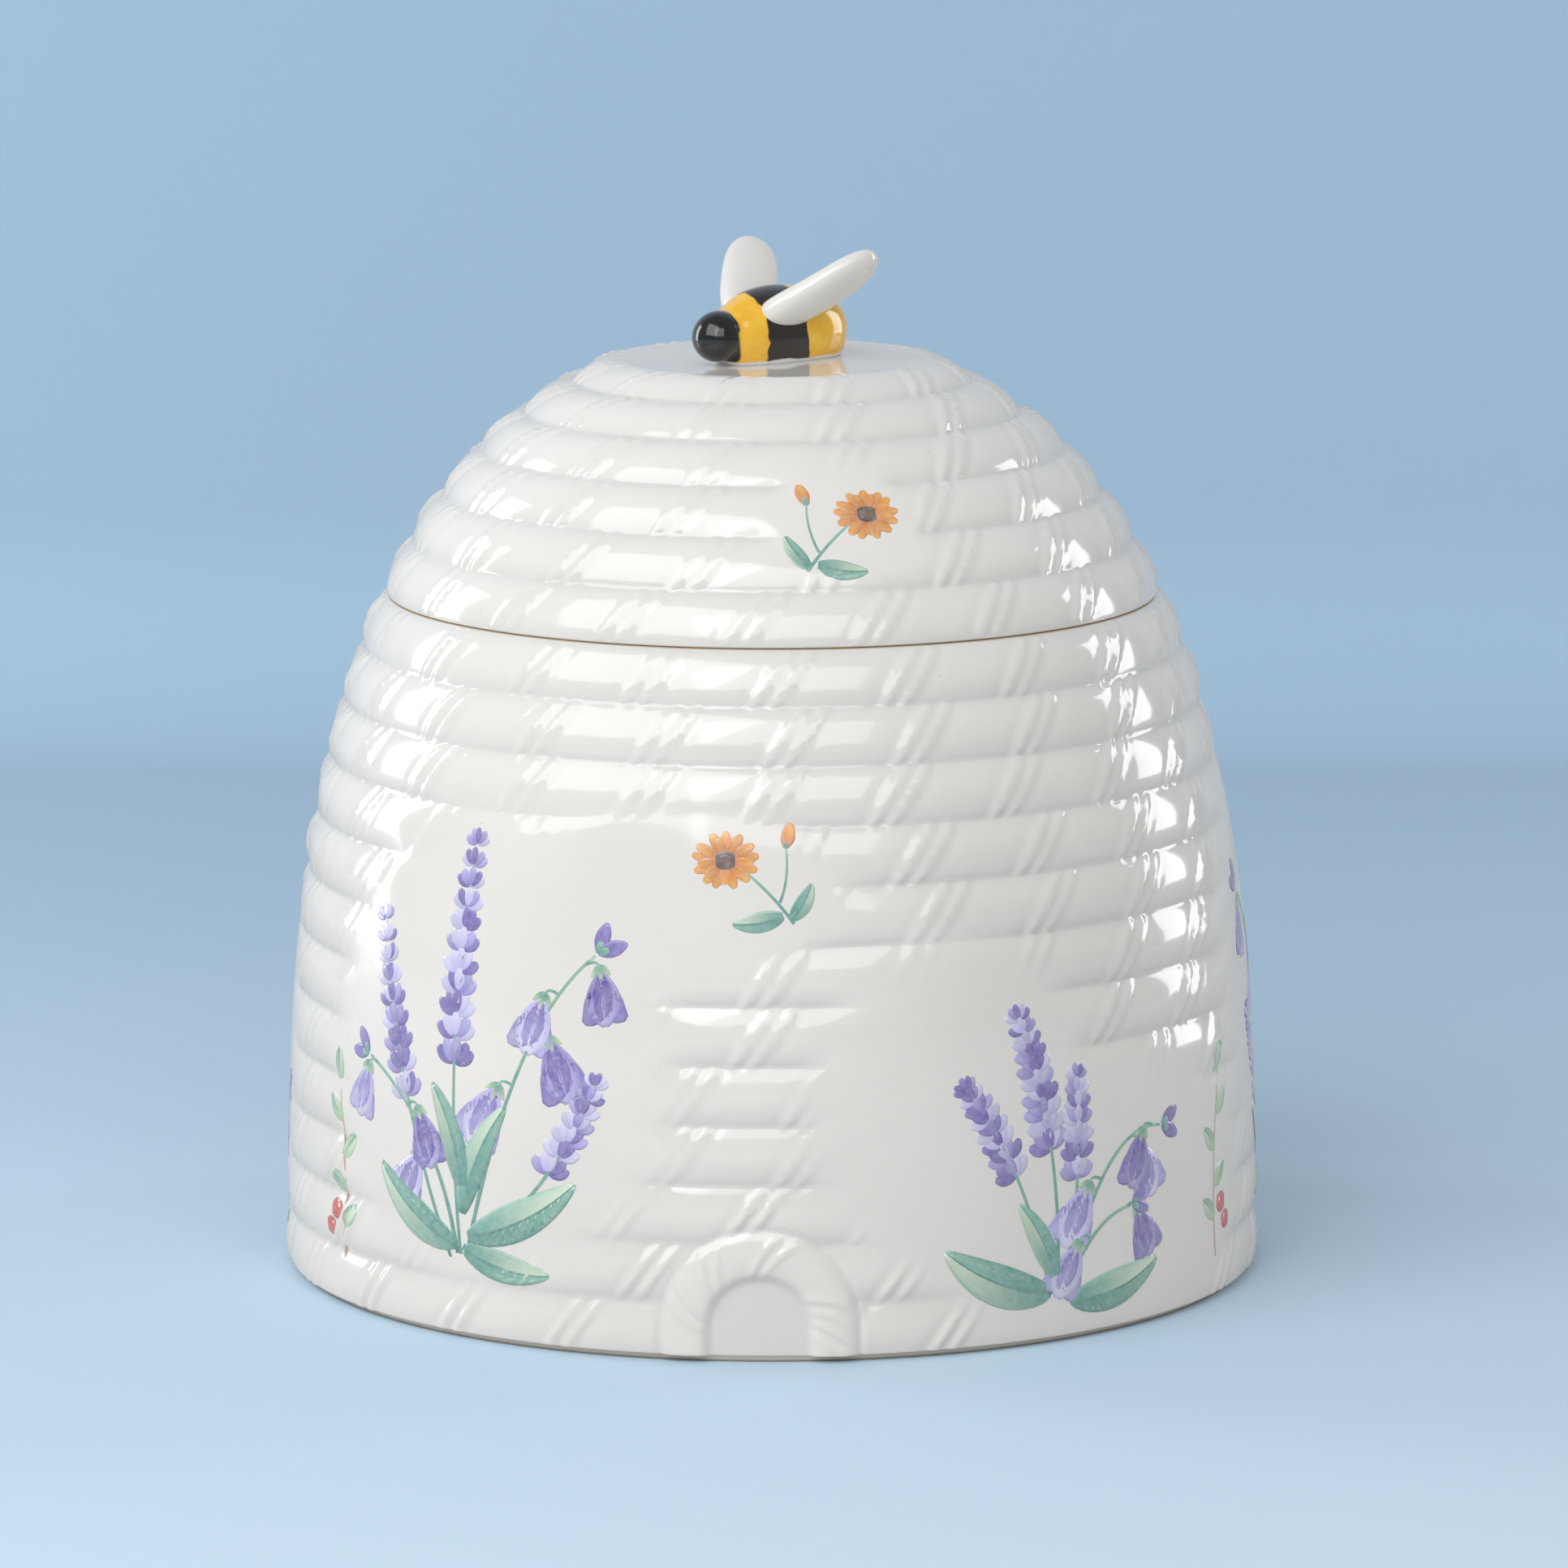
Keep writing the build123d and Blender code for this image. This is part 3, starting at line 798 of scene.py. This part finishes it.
class PrintedSheet:
    """Strokes gathered on one wall, made into a single mesh at the end."""

    def __init__(self, first, last):
        self.first, self.last = float(first), float(last)
        self.points, self.faces, self.colours, self.grain = [], [], [], []
        self.count = 0

    def begin(self, azimuth, height, mirror=1):
        """Start a spray about a place on the wall; mirror -1 turns it the other way round."""
        self.azimuth, self.coil = math.radians(azimuth), coil_at(height)
        self.mirror, self.layer = mirror, 0

    def on_wall(self, flat, lift):
        """Points (x right, y up, in mm) about the spray's place, laid on the relief."""
        coil = np.clip(self.coil + flat[..., 1] / COIL_PITCH, self.first + 0.02, self.last - 0.02)
        radius, z, out, up = outline(coil)
        azimuth = self.azimuth + flat[..., 0] / radius
        push = relief(azimuth, coil, self.first, self.last) + lift
        return round_axis(radius + push * out, azimuth, z + push * up)

    def stroke(self, line, half_width, base, tip, rim=None, wash=0.25):
        """One ribbon: line (rows, 2), half width (rows), colours from base to tip and towards the rim."""
        rows = len(line)
        line = line * [self.mirror, 1]
        way = np.gradient(line, axis=0)
        way = way / np.maximum(np.linalg.norm(way, axis=1, keepdims=True), 1e-9)
        side = np.stack([-way[:, 1], way[:, 0]], axis=-1)
        across = np.concatenate([TOP_SIDE, UNDER_SIDE])
        flat = line[:, None, :] + side[:, None, :] * half_width[:, None, None] * across[None, :, None]
        lift = PAINT_LIFT + LAYER_STEP * self.layer
        top = np.where(np.abs(TOP_SIDE) < 0.95, lift, -EDGE_DIP)
        rise = np.concatenate([top, np.full(len(UNDER_SIDE), -2 * EDGE_DIP)])
        fade = np.clip(np.minimum(np.arange(rows), rows - 1 - np.arange(rows)), 0, 1)[:, None]
        rise = np.where(fade > 0, rise[None, :], np.minimum(rise[None, :], -0.5 * EDGE_DIP))
        rings = self.on_wall(flat, rise)
        ends = self.on_wall(line[[0, -1]], -EDGE_DIP)
        points, faces = closed_grid(rings, *ends)
        u = np.linspace(0, 1, rows)[:, None]
        colour = base + (tip - base) * smooth_step(0.0, 1.0, u)[..., None]
        colour = np.broadcast_to(colour, (rows, len(across), 3)).copy()
        if rim is not None:
            amount = (np.abs(across) ** 2.5)[None, :, None] * 0.9
            colour = colour * (1 - amount) + rim * amount
        colour *= 1 + wash * (random.random() - 0.5)
        tail = np.array([base, tip if rim is None else rim])
        self.colours.append(np.concatenate([colour.reshape(-1, 3), tail]))
        grain = np.stack(np.broadcast_arrays(u, across), axis=-1)
        self.grain.append(np.concatenate([grain.reshape(-1, 2), [[0, 0], [1, 0]]]))
        self.faces.extend((np.array(face) + self.count).tolist() for face in faces)
        self.points.append(points)
        self.count += len(points)
        self.layer += 1

    def make(self, name, body):
        """The mesh of all the strokes, with their colours and their places along each brush stroke."""
        piece = new_piece(name, np.concatenate(self.points), self.faces)
        colour = np.clip(np.concatenate(self.colours), 0, 1)
        colour = np.concatenate([colour, np.ones((len(colour), 1))], axis=1)
        layer = piece.data.color_attributes.new("paint", "FLOAT_COLOR", "POINT")
        layer.data.foreach_set("color", colour.astype(np.float32).ravel())
        corner_point = np.empty(len(piece.data.loops), dtype=np.int32)
        piece.data.loops.foreach_get("vertex_index", corner_point)
        uv = piece.data.uv_layers.new(name="brush")
        uv.data.foreach_set("uv", np.concatenate(self.grain)[corner_point].astype(np.float32).ravel())
        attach(piece, body)
        return piece


# %% [markdown]
# Each part of a plant is a few strokes: a petal is one, a leaf three, a bell seven. What grows on a stem
# takes its place from the stem's own points. Colours and leans vary a little from stroke to stroke.

# %% Petals, leaves, stems and buds
STEM_ROWS = 17


def swell(rows, full, power=0.8):
    """Half widths of a stroke that opens and closes: full * sin(pi t ^ power) ^ 0.75."""
    t = np.linspace(0.02, 0.98, rows)
    return full * np.sin(math.pi * t ** power) ** 0.75


def turned_by(point, angle, length):
    """The point a length away in a direction given in degrees from up, turning to the right."""
    angle = math.radians(angle)
    return np.array(point) + length * np.array([math.sin(angle), math.cos(angle)])


def paint_leaf(sheet, base, angle, length, width, bend, dark=TEAL, light=LEAF_LIGHT):
    """A leaf in three strokes: the pale half, the dark half over it, and the rib."""
    tip = turned_by(base, angle, length)
    middle = turned_by((np.array(base) + tip) / 2, angle + 90, bend)
    line = curve_through(base, middle, tip, 15)
    way = np.gradient(line, axis=0)
    side = np.stack([way[:, 1], -way[:, 0]], -1) / np.linalg.norm(way, axis=1, keepdims=True)
    half = swell(15, width / 2, 0.85)
    sheet.stroke(line - side * (half * 0.12)[:, None], half, dark, light, rim=SEA_GREEN)
    sheet.stroke(line + side * (half * 0.42)[:, None], half * 0.52, dark, SEA_GREEN, rim=TEAL)
    sheet.stroke(line, np.linspace(0.42, 0.16, 15), dark, TEAL, wash=0.1)


def paint_stem(sheet, start, bend, end, width=0.8, colour=TEAL, end_colour=SEA_GREEN):
    """A stem that thins towards its end; its points are returned for what grows on it."""
    line = curve_through(start, bend, end, STEM_ROWS)
    sheet.stroke(line, np.linspace(width / 2, width / 3.2, STEM_ROWS), colour, end_colour, wash=0.15)
    return line


def place_on(line, t):
    """The point on a stem at a share t of its length."""
    last = len(line) - 1
    return np.array([np.interp(t * last, np.arange(last + 1), line[:, axis]) for axis in (0, 1)])


def heading(way):
    """Direction of a way, in degrees from up, turning to the right."""
    return math.degrees(math.atan2(way[0], way[1]))


def paint_bell(sheet, top, angle, length):
    """A bellflower seen from the side: two outer lobes that flare, one in front, and its green cap."""
    shades = (VIOLET, PERIWINKLE, LAVENDER, PALE_LILAC)
    deep, mid, light = shades[:3] if random.random() < 0.5 else shades[1:]
    for lean in (-24, 24):
        end = turned_by(top, angle + lean, length)
        bend = turned_by(top, angle - lean * 0.35, length * 0.62)
        sheet.stroke(curve_through(top, bend, end, 11), swell(11, length * 0.27, 1.25), deep, mid, rim=deep)
    end = turned_by(top, angle, length * 1.02)
    line = curve_through(top, turned_by(top, angle, length * 0.5), end, 11)
    sheet.stroke(line, swell(11, length * 0.33, 1.2), mid, light, rim=mid)
    sheet.stroke(line[2:9], np.full(7, 0.16), deep, mid, wash=0.1)
    for lean in (-55, 0, 55):
        tip = turned_by(top, angle + lean, length * 0.22)
        start = turned_by(top, angle + 180, 0.8)
        sheet.stroke(curve_through(start, (start + tip) / 2, tip, 7), swell(7, 0.62), TEAL, PALE_GREEN)


def paint_bud(sheet, base, angle, length, deep=VIOLET, light=PERIWINKLE):
    """A closed bud: one drop-shaped stroke, and a small green cap at its base."""
    tip = turned_by(base, angle, length)
    line = curve_through(base, (np.array(base) + tip) / 2, tip, 9)
    sheet.stroke(line, swell(9, length * 0.26, 1.0), deep, light, rim=deep)
    sheet.stroke(line[:5], swell(5, length * 0.13), TEAL, SEA_GREEN)


def paint_lavender(sheet, foot, bend, tip, whorls=9, size=4.6):
    """A lavender spike: a stem whose upper part carries rings of buds, closer and smaller to the tip."""
    line = paint_stem(sheet, foot, bend, tip, 0.85)
    lean = heading(line[-1] - line[-5])
    shades = (VIOLET, PERIWINKLE, LAVENDER, PALE_LILAC)
    for whorl in range(whorls):
        place = place_on(line, 0.50 + 0.5 * (whorl / whorls) ** 0.9)
        scale = size * (1.06 - 0.5 * (whorl / whorls) ** 1.6)
        for fan in (-62, 58, -32, 30, 0):
            fan = fan + 10 * (random.random() - 0.5)
            shade = random.integers(3)
            deep, light = shades[shade], shades[shade + 1]
            end = turned_by(place, lean + fan, scale)
            ribbon = curve_through(place, turned_by(place, lean + fan * 1.25, scale * 0.5), end, 8)
            sheet.stroke(ribbon, swell(8, scale * 0.27, 1.15), deep, light, rim=deep)


def paint_bell_stem(sheet, foot, bend, tip, bells, length):
    """An arching stem with bells that hang from its outer side on short stalks, and buds at its end."""
    line = paint_stem(sheet, foot, bend, tip, 0.9)
    for number in range(bells):
        place = place_on(line, 0.42 + 0.5 * number / max(bells - 1, 1))
        side = 1 if number % 2 else -1
        hang = turned_by(place, 100 * side, 3.2)
        paint_stem(sheet, place, turned_by(place, 60 * side, 3.0), hang, 0.6)
        paint_bell(sheet, hang, 180 - side * (28 - 6 * number), length * (1.08 - 0.07 * number))
    for fan in (-30, 25):
        paint_bud(sheet, line[-1], heading(line[-1] - line[-4]) + fan, length * 0.5)


def paint_daisy(sheet, middle, size, squash=0.86):
    """A daisy seen a little from the side: two rings of petals, and a domed brown middle."""
    middle = np.array(middle, float)
    for ring, (number, reach) in enumerate(((13, 1.0), (9, 0.84))):
        for petal in range(number):
            angle = 360 * (petal + 0.5 * ring) / number + 9 * (random.random() - 0.5)
            out = (turned_by((0, 0), angle, size / 2 * reach)) * np.array([1, squash])
            line = curve_through(middle + out * 0.12, middle + out * 0.6, middle + out, 9)
            sheet.stroke(line, swell(9, size * 0.085, 1.25), DEEP_AMBER, AMBER, rim=DEEP_AMBER)
    for part, colour in ((1.0, BROWN), (0.62, tint(92, 56, 30))):
        reach = size * 0.17 * part
        line = curve_through(middle - [reach, 0], middle, middle + [reach, 0], 11)
        t = np.linspace(-0.98, 0.98, 11)
        sheet.stroke(line, reach * squash * np.sqrt(1 - t ** 2), colour, colour, rim=BROWN)


def paint_berry(sheet, middle, size):
    """A round berry with a darker rim and a spot of light."""
    t = np.linspace(-0.985, 0.985, 13)
    middle = np.array(middle, float)
    spots = ((size / 2, 0, RED, DARK_RED), (size * 0.11, size * 0.16, tint(250, 214, 200), None))
    for reach, shift, colour, rim in spots:
        spot = middle + np.array([-shift, shift])
        line = spot + t[:, None] * np.array([[reach, 0.0]])
        sheet.stroke(line, reach * np.sqrt(1 - t ** 2), colour, colour, rim=rim, wash=0)


# %% [markdown]
# The sprays are arranged like a hedgerow round the jar: tall ones where the wall is smooth from foot to
# shoulder, low ones between. Each is drawn about its own place on the wall, from back to front.

# %% The sprays on the jar
def tall_spray(sheet, bells=4):
    """A tall spray: two arching bell stems, three lavender spikes, and leaves at the foot."""
    paint_lavender(sheet, (0, -40), (-5, -5), (-1, 44), 11, 5.2)
    paint_lavender(sheet, (-2, -40), (-16, -12), (-25, 27), 9, 4.8)
    paint_bell_stem(sheet, (1, -38), (12, 10), (27, 22), bells, 12.5)
    paint_bell_stem(sheet, (-1, -38), (-6, -12), (-27, -3), bells - 1, 11.5)
    paint_lavender(sheet, (3, -36), (22, -22), (29, 0), 7, 4.4)
    for base, angle, length, width, bend in (
            ((1, -34), 62, 27, 7.5, 4), ((-1, -36), -58, 25, 7.0, -4), ((0, -30), 24, 24, 6.0, -3),
            ((0, -26), -22, 22, 5.6, 3), ((0, -36), 100, 20, 6.0, 3)):
        paint_leaf(sheet, base, angle, length, width, bend)


def low_spray(sheet, bells=3):
    """A low spray: three lavender spikes that lean one way, and bells on an arch that leans the other."""
    paint_lavender(sheet, (-2, -26), (-8, 2), (-21, 18), 8, 4.6)
    paint_lavender(sheet, (-1, -26), (1, 4), (-9, 31), 10, 5.0)
    paint_lavender(sheet, (0, -26), (6, -2), (4, 19), 7, 4.4)
    paint_bell_stem(sheet, (1, -25), (10, 8), (27, 4), bells, 12.0)
    paint_bell_stem(sheet, (1, -24), (8, -10), (18, -10), 2, 10.5)
    for base, angle, length, width, bend in (
            ((-2, -24), -66, 25, 8.0, -4), ((2, -26), 78, 24, 7.5, 4), ((-1, -22), -28, 18, 5.0, 2)):
        paint_leaf(sheet, base, angle, length, width, bend)


def daisy_sprig(sheet, size=13.0):
    """An open amber daisy, a bud and two leaves on a short stem."""
    paint_stem(sheet, (-9, -9), (-4, -2), (3, 3), 0.7)
    paint_stem(sheet, (-6, -5), (-8, 0), (-7, 6), 0.6)
    paint_leaf(sheet, (-7, -7), 100, 10, 4.0, 1.5)
    paint_leaf(sheet, (-8, -8), -30, 8, 3.4, -1.0)
    paint_bud(sheet, (-7, 5), -10, 5.4, DEEP_AMBER, AMBER)
    paint_daisy(sheet, (4, 3), size)


def bell_sprig(sheet):
    """Two small bells on one arching stem, with a leaf."""
    paint_bell_stem(sheet, (-9, -8), (-4, 6), (9, 8), 2, 9.5)
    paint_leaf(sheet, (-8, -7), 70, 14, 4.6, 2.0)


def berry_twig(sheet):
    """A fine reddish twig with small pale leaves and two berries."""
    line = paint_stem(sheet, (0, -18), (-3, -2), (2, 18), 0.6, TWIG, TWIG)
    for place, angle in ((4, -48), (7, 50), (10, -42), (13, 46), (16, 4)):
        paint_leaf(sheet, line[place], angle, 6.5, 3.6, 0.8, PALE_GREEN, LEAF_LIGHT)
    paint_berry(sheet, line[5] + [3.4, 0.5], 4.4)
    paint_berry(sheet, line[5] + [5.6, -3.2], 4.0)


jar_print = PrintedSheet(0, JAR_COILS)
# Each spray on the jar: what it is, its azimuth in degrees, its height, and which way round it is.
for spray, azimuth, height, mirror in (
        (tall_spray, -38, 54, 1), (berry_twig, -60, 26, -1), (daisy_sprig, -3, 91, -1),
        (low_spray, 35, 34, 1), (berry_twig, 64, 26, 1), (tall_spray, 97, 54, -1),
        (low_spray, 146, 34, -1), (daisy_sprig, 148, 74, 1), (tall_spray, 204, 56, 1),
        (low_spray, 258, 32, 1)):
    jar_print.begin(azimuth, height, mirror)
    spray(jar_print)
jar_flowers = jar_print.make("jar_flowers", "jar")

# %% [markdown]
# The lid has three small sprigs: a daisy over the front, and bells on the far sides.

# %% The sprays on the lid
lid_print = PrintedSheet(JAR_COILS, ALL_COILS)
LID_SPRIG_HEIGHT = 152
for spray, azimuth in ((daisy_sprig, 13), (bell_sprig, -118), (bell_sprig, 128)):
    lid_print.begin(azimuth, LID_SPRIG_HEIGHT)
    spray(lid_print)
lid_flowers = lid_print.make("lid_flowers", "lid")

# %% [markdown]
# Transfer prints look like watercolour: where the wash is thin, the white of the pot shows through. One
# noise streaks along the brush's way, another mottles everything, and their sum thins the colour.

# %% The printed colour
PAPER_WHITE = (0.80, 0.79, 0.78, 1)


def print_material():
    """Each stroke's stored colour, mottled like watercolour, with faint streaks along the brush's way."""
    material, tree, shader = new_material(
        "printed_colour", IOR=GLAZE_IOR, Coat_Weight=0.35, Coat_Roughness=COAT_ROUGHNESS, Roughness=0.14)
    brush = node(tree, "ShaderNodeUVMap", (-1300, -200), uv_map="brush").outputs["UV"]
    stretch = node(tree, "ShaderNodeMapping", (-1100, -200), Vector=brush, Scale=(1.2, 9.0, 1.0))
    streak = noise(tree, (-900, -200), stretch.outputs["Vector"], Scale=1.0, Detail=3.0)
    place = object_place(tree, (-1100, -500))
    mottle = noise(tree, (-900, -500), place, Scale=650.0, Detail=4.0, Roughness=0.6)
    total = node(tree, "ShaderNodeMath", (-650, -300), streak, mottle, operation="ADD").outputs["Value"]
    thin = remap(tree, (-450, -300), total, (0.65, 1.35), (0.0, 0.34))
    paint = stored(tree, (-900, 200), "paint", "Color")
    feed(tree, shader, Base_Color=mix(tree, (-200, 100), thin, paint, PAPER_WHITE))
    return material


printed = print_material()
jar_flowers.data.materials.append(printed)
lid_flowers.data.materials.append(printed)

# %% [markdown]
# The setting is a pale blue sheet that runs up behind the jar; its colour deepens towards the back as painted
# fall-off of the light.

# %% The floor and backdrop
# The paler front colour and the deeper far colour are painted fall-off of the light, from the front to the
# back.
PAPER_NEAR_LIT, PAPER_FAR_SHADED, PAPER_BOUNCE = (0.69, 0.86, 0.99, 1), (0.36, 0.53, 0.71, 1), (0.58, 0.58, 0.58, 1)
NEAR_Y, FAR_Y = -0.75, 0.62   # where the two colours of the paper are reached, in metres
GLOSSY_SHARE = 0.45           # how much of the blue a reflection in the glaze shows
SHEET_REACH, SHEET_HEIGHT = 2600.0, 2200.0
SHEET_BEND, SHEET_FAR = 60.0, 560.0   # radius of the bend, and how far behind the jar it begins


def paper_material():
    """Pale blue paper, paler towards the front and deeper at the back as painted fall-off of the light, and
    clear from behind. The camera sees the blue, reflections a share of it, and what it bounces onto the jar
    is grey, so that the glaze keeps its own colour."""
    material, tree, shader = new_material("pale_blue_paper", Roughness=0.75)
    split = node(tree, "ShaderNodeSeparateXYZ", (-900, 0), object_place(tree, (-1100, 0)))
    depth = remap(tree, (-700, 0), split.outputs["Y"], (NEAR_Y, FAR_Y), (0.0, 1.0),
                  interpolation_type="SMOOTHSTEP")
    # Painted light fall-off: paler at the front, deeper towards the back.
    fade = mix(tree, (-450, 0), depth, PAPER_NEAR_LIT, PAPER_FAR_SHADED)
    ray = node(tree, "ShaderNodeLightPath", (-700, 400)).outputs
    seen = node(tree, "ShaderNodeMath", (-450, 300), ray["Is Glossy Ray"], GLOSSY_SHARE, ray["Is Camera Ray"],
                operation="MULTIPLY_ADD", use_clamp=True).outputs["Value"]
    feed(tree, shader, Base_Color=mix(tree, (-200, 100), seen, PAPER_BOUNCE, fade))
    behind = node(tree, "ShaderNodeNewGeometry", (0, 300)).outputs["Backfacing"]
    clear = node(tree, "ShaderNodeBsdfTransparent", (0, -500)).outputs["BSDF"]
    surface = node(tree, "ShaderNodeMixShader", (350, 0), behind, shader.outputs["BSDF"], clear)
    feed(tree, tree.nodes["Material Output"], Surface=surface.outputs["Shader"])
    return material


def make_backdrop():
    """A sheet: flat, then a quarter circle, then upright, carried sideways."""
    turn = np.linspace(0, math.pi / 2, 16)
    y = np.concatenate([[-SHEET_REACH], SHEET_FAR + SHEET_BEND * np.sin(turn), [SHEET_FAR + SHEET_BEND]])
    z = np.concatenate([[0], SHEET_BEND - SHEET_BEND * np.cos(turn), [SHEET_HEIGHT]])
    x = np.repeat([-SHEET_REACH, SHEET_REACH], len(y))
    step = np.arange(len(y) - 1)
    faces = np.stack([step, step + len(y), step + len(y) + 1, step + 1], axis=-1).tolist()
    sheet = new_object("blue_sheet", np.stack([x, np.tile(y, 2), np.tile(z, 2)], axis=-1), faces)
    sheet.data.materials.append(paper_material())


make_backdrop()

# %% [markdown]
# Two tall soft boxes and a narrow strip stand at the sides and make the square highlights on the coils. A
# large one over the left shoulder and another over the front light the rest. The camera has a long lens.

# %% Lamps and camera
def soft_box(name, azimuth, elevation, distance, size, power, aim=(0, 0, 0.09)):
    """A rectangular lamp at an azimuth from the front (+ to the right), turned to the jar."""
    lamp = bpy.data.lights.new(name, "AREA")
    lamp.shape = "RECTANGLE"
    lamp.size, lamp.size_y = size
    lamp.energy = power
    holder = bpy.data.objects.new(name, lamp)
    azimuth, elevation = math.radians(azimuth), math.radians(elevation)
    flat = distance * math.cos(elevation)
    holder.location = (
        flat * math.sin(azimuth), -flat * math.cos(azimuth), aim[2] + distance * math.sin(elevation))
    holder.rotation_euler = (Vector(aim) - holder.location).to_track_quat("-Z", "Y").to_euler()
    bpy.context.scene.collection.objects.link(holder)


soft_box("left_box", -110, 13.8, 1.0, (0.24, 0.66), 2.3)
soft_box("right_box", 112, 12, 1.0, (0.24, 0.60), 1.9)
soft_box("right_strip", 136, 12, 1.0, (0.05, 0.40), 0.4)
soft_box("key_box", -41, 38, 1.7, (1.6, 1.35), 15.8)
soft_box("fill_box", 2, 33, 2.2, (1.8, 1.4), 14.0)

world = bpy.data.worlds.new("room")
bpy.context.scene.world = world
world.use_nodes = True
feed(world.node_tree, world.node_tree.nodes["Background"], Color=(1.0, 1.0, 1.0, 1), Strength=0.34)

CAMERA_DISTANCE, CAMERA_HEIGHT = 1759.4, 396.4
CAMERA_PITCH = 0.1705         # how far it looks down, in radians
CAMERA_TURN = 15.2 / 11280    # how far it looks to the right
camera_data = bpy.data.cameras.new("camera")
camera_data.sensor_width = 36.0
camera_data.lens = 210.2
camera = bpy.data.objects.new("camera", camera_data)
camera.location = (0, -CAMERA_DISTANCE * MM, CAMERA_HEIGHT * MM)
camera.rotation_euler = (math.pi / 2 - CAMERA_PITCH, 0, -CAMERA_TURN)
bpy.context.scene.collection.objects.link(camera)
bpy.context.scene.camera = camera
bpy.context.scene.view_settings.view_transform = "Standard"
